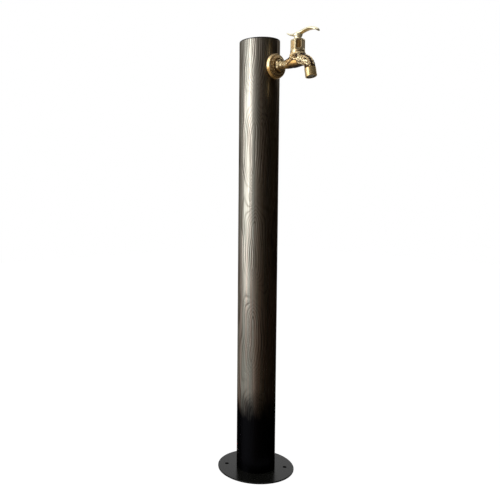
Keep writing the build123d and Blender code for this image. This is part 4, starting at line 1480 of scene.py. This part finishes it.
# Per face: panel patina with painted shade, and berry polish with a painted highlight.
panel_ages_and_shade = (0.60, 0.56, 0.50, 0.60, 0.50, 0.28)
berry_polish_and_highlight = (0.15, 1.0, 0.5, 0.3, 0.5, 0.3)
panel_strokes = []
for number in range(-3, 4):
    here = number * berry_gap
    panel_strokes.append((np.array([(0.0, here)]), np.array([berry_radius])))
    for hand in (-1, 1):
        panel_strokes += draw_leaf((hand * 0.6, here), math.pi / 2 - hand * 0.95, 2.3, 1, 0, 0.5)
panel_strokes.append(draw_stroke([(0, -panel_stem), (0, panel_stem)], (0.35, 0.35)))
bonnet_relief = np.zeros(len(bonnet_points))
panel_patina_and_painted_light = np.zeros(len(bonnet_points))
for side in range(6):
    angle = bonnet_turn + math.radians(60) * side
    out = bonnet_points @ np.array((math.cos(angle), math.sin(angle), 0))
    over = bonnet_points @ np.array((-math.sin(angle), math.cos(angle), 0))
    facing = out > bonnet_across / 2 - panel_depth - 0.25
    flat = np.stack([over, bonnet_points[:, 2] - bonnet_middle], -1)
    raised = raise_strokes(flat, panel_strokes) * facing * (abs(over) < panel_half_width)
    bonnet_relief = np.maximum(bonnet_relief, raised)
    sunk = np.clip((bonnet_across / 2 - 0.15 - out) / 0.3, 0, 1)
    framed = (abs(over) < panel_half_width) & (abs(flat[:, 1]) < panel_half_height) & facing
    panel_tone = panel_ages_and_shade[side] * (1 - berry_polish_and_highlight[side] * np.clip(raised * 1.3, 0, 1))
    panel_patina_and_painted_light = np.maximum(panel_patina_and_painted_light, framed * sunk * panel_tone)
bonnet = make_object(
    "panelled_bonnet",
    to_metres(bonnet_points + bonnet_normals * (bonnet_relief * bonnet_relief_height)[:, None]),
    bonnet_quads,
)
set_patina(bonnet, 0.14 + panel_patina_and_painted_light)
bonnet.data.materials.append(cast_brass)
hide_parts("bonnet")
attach(bonnet, "standpipe")
print("each panel has", len(panel_strokes), "strokes")

# %% [markdown]
# The lever is cast in one with its hub: a foot and a waist below, and above them a thin leaf, short and
# turned up behind, long and arched in front. Its section is a flat oval, fuller above than below, whose
# width, thickness and height change smoothly along it, so each is a curve through a few stations. A
# bevelled curve can't change its width and its thickness apart, so the leaf is a field too.

# %% Form of the lever
hub_foot = bonnet_top + 0.3
lever_reach = 46.5
lever_level = hub_foot + 8.7
lever_thickness = 6.4
lever_crown = 0.68 * lever_thickness
lever_keel = 0.32 * lever_thickness
lever_along = lever_reach * np.array((-0.56, -0.46, -0.33, -0.17, 0.0, 0.22, 0.5, 0.7, 0.86, 0.96, 1.0))
lever_rises = 4.0 * np.array((1.7, 1.05, 0.4, 0.0, 0.0, 0.5, 0.97, 0.8, 0.2, -0.45, -0.8))
lever_widths = 7.5 * np.array((0.2, 0.42, 0.6, 0.78, 0.93, 0.74, 0.88, 1.0, 0.9, 0.66, 0.4))
lever_thicknesses = np.array((0.3, 0.44, 0.6, 0.86, 1.0, 0.96, 0.86, 0.78, 0.7, 0.62, 0.48))
hub_heights = (0.0, 0.8, 1.8, 3.0, 4.8, 6.6, 8.7)
hub_radii = (7.3, 7.3, 6.7, 6.5, 6.9, 7.9, 7.9)
screw_seat = lever_level + lever_crown - 2.3
screw_recess = 3.65
tilt_step = 0.3


def lever_field(points):
    """The leaf, joined to its hub, with the recess for the screw's head."""
    x, y, z = points.T
    middle = lever_level + smooth_through(x, lever_along, lever_rises)
    tilt = (
        smooth_through(x + tilt_step, lever_along, lever_rises)
        - smooth_through(x - tilt_step, lever_along, lever_rises)
    ) / (2 * tilt_step)
    width = smooth_through(x, lever_along, lever_widths)
    upright = (z - middle) / np.sqrt(1 + tilt**2)
    thickness = smooth_through(x, lever_along, lever_thicknesses)
    thickness = thickness * np.where(upright > 0, lever_crown, lever_keel)
    leaf = (np.sqrt((y / width) ** 2 + (upright / thickness) ** 2) - 1) * thickness
    leaf = trim(leaf, np.maximum(lever_along[0] - x, x - lever_along[-1]), 1.2)
    hub = np.hypot(x, y) - smooth_through(z - hub_foot, hub_heights, hub_radii)
    hub = trim(hub, np.maximum(hub_foot - z, z - lever_level), 0.3)
    recess = np.maximum(np.hypot(x, y) - screw_recess, screw_seat - z)
    return trim(join(leaf, hub, 1.2), -recess, 0.3)


print("the lever is", round(float(np.ptp(lever_along)), 1), "mm long")

# %% [markdown]
# Hands keep the lever's brass bright. Underneath it is painted brown as shade, a little less so at its
# edges, and round the hub, under the leaf, it is painted a little darker as shade too.

# %% Lever
lever_cell = 0.32
lever_half_room = 8.5
lever_headroom = 9.5
lever_points, lever_normals, lever_quads = throw_net(
    lever_field,
    (lever_along[0] - 1, -lever_half_room, hub_foot - 0.6),
    (lever_along[-1] + 1, lever_half_room, lever_level + lever_headroom),
    lever_cell,
)
lever = make_object("leaf_lever", to_metres(lever_points), lever_quads)
# Painted shade: the underside, a little less at its edges, and the hub under the leaf are darkened.
lever_edge = ease((abs(lever_points[:, 1]) - 3.5) / 4.0)
hub_shade = ease((hub_foot + 6.0 - lever_points[:, 2]) / 2.0)
hub_shade = hub_shade * ease((8.2 - abs(lever_points[:, 0])) / 0.5)
underside_shade = ease((-lever_normals[:, 2] - 0.5) / 0.4)
set_patina(lever, 0.03 + 0.5 * underside_shade * (1 - lever_edge * 0.2) * (1 - hub_shade) + 0.2 * hub_shade)
lever.data.materials.append(handled_brass)
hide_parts("lever_handle")
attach(lever, "lever")
print("the lever's net has", len(lever_quads), "quads")

# %% [markdown]
# What is left keeps the frame's own meshes. They are inside the post or the tap and show little, but
# each except the flow straightener gets the finish of its real material, so that the part can be opened
# up or moved without a blank piece coming into view. The tap's socket is welded to the post and was
# coloured black with it. The flow straightener is white, but it is painted dark as the shade inside the
# nozzle's mouth, because a white one would shine there.

# %% Finishes of the inner pieces
bare_steel = plain_finish("bare_steel", (0.42, 0.42, 0.42, 1), (0.58, 0.57, 0.55, 1), 0.32, 0.5, 1.0)
plain_brass = plain_finish("plain_brass", (0.62, 0.45, 0.19, 1), (0.78, 0.60, 0.28, 1), 0.3, 0.5, 1.0)
screw_steel = plain_finish("screw_steel", (0.30, 0.30, 0.30, 1), (0.48, 0.47, 0.46, 1), 0.28, 0.5, 1.0)
ceramic = plain_finish("ceramic", (0.74, 0.73, 0.70, 1), (0.84, 0.83, 0.80, 1), 0.16, 0.5)
# The white flow straightener is painted dark, as the shade inside the nozzle's mouth.
white_in_painted_shade = plain_finish("white_in_painted_shade", (0.10, 0.085, 0.06, 1), (0.20, 0.175, 0.13, 1), 0.5, 0.3)
black_rubber = plain_finish("black_rubber", (0.010, 0.010, 0.010, 1), (0.024, 0.023, 0.022, 1), 0.62, 0.3)
inner_finishes = {
    bare_steel: ("riser_pipe",),
    satin_black: ("tap_socket",),
    plain_brass: ("inlet_coupling", "lower_union_nut", "upper_union_nut", "riser_elbow",
                  "headwork_housing", "spindle"),
    screw_steel: ("handle_screw", "spindle_clip"),
    ceramic: ("fixed_disc", "moving_disc"),
    white_in_painted_shade: ("flow_straightener",),
    black_rubber: ("lower_union_washer", "upper_union_washer", "flange_washer", "nozzle_gasket",
                   "seat_seal", "body_ring", "lower_spindle_ring", "upper_spindle_ring"),
}
for finish, nodes in inner_finishes.items():
    for node in nodes:
        dress(node, finish)
print("dressed", sum(len(nodes) for nodes in inner_finishes.values()), "inner pieces")
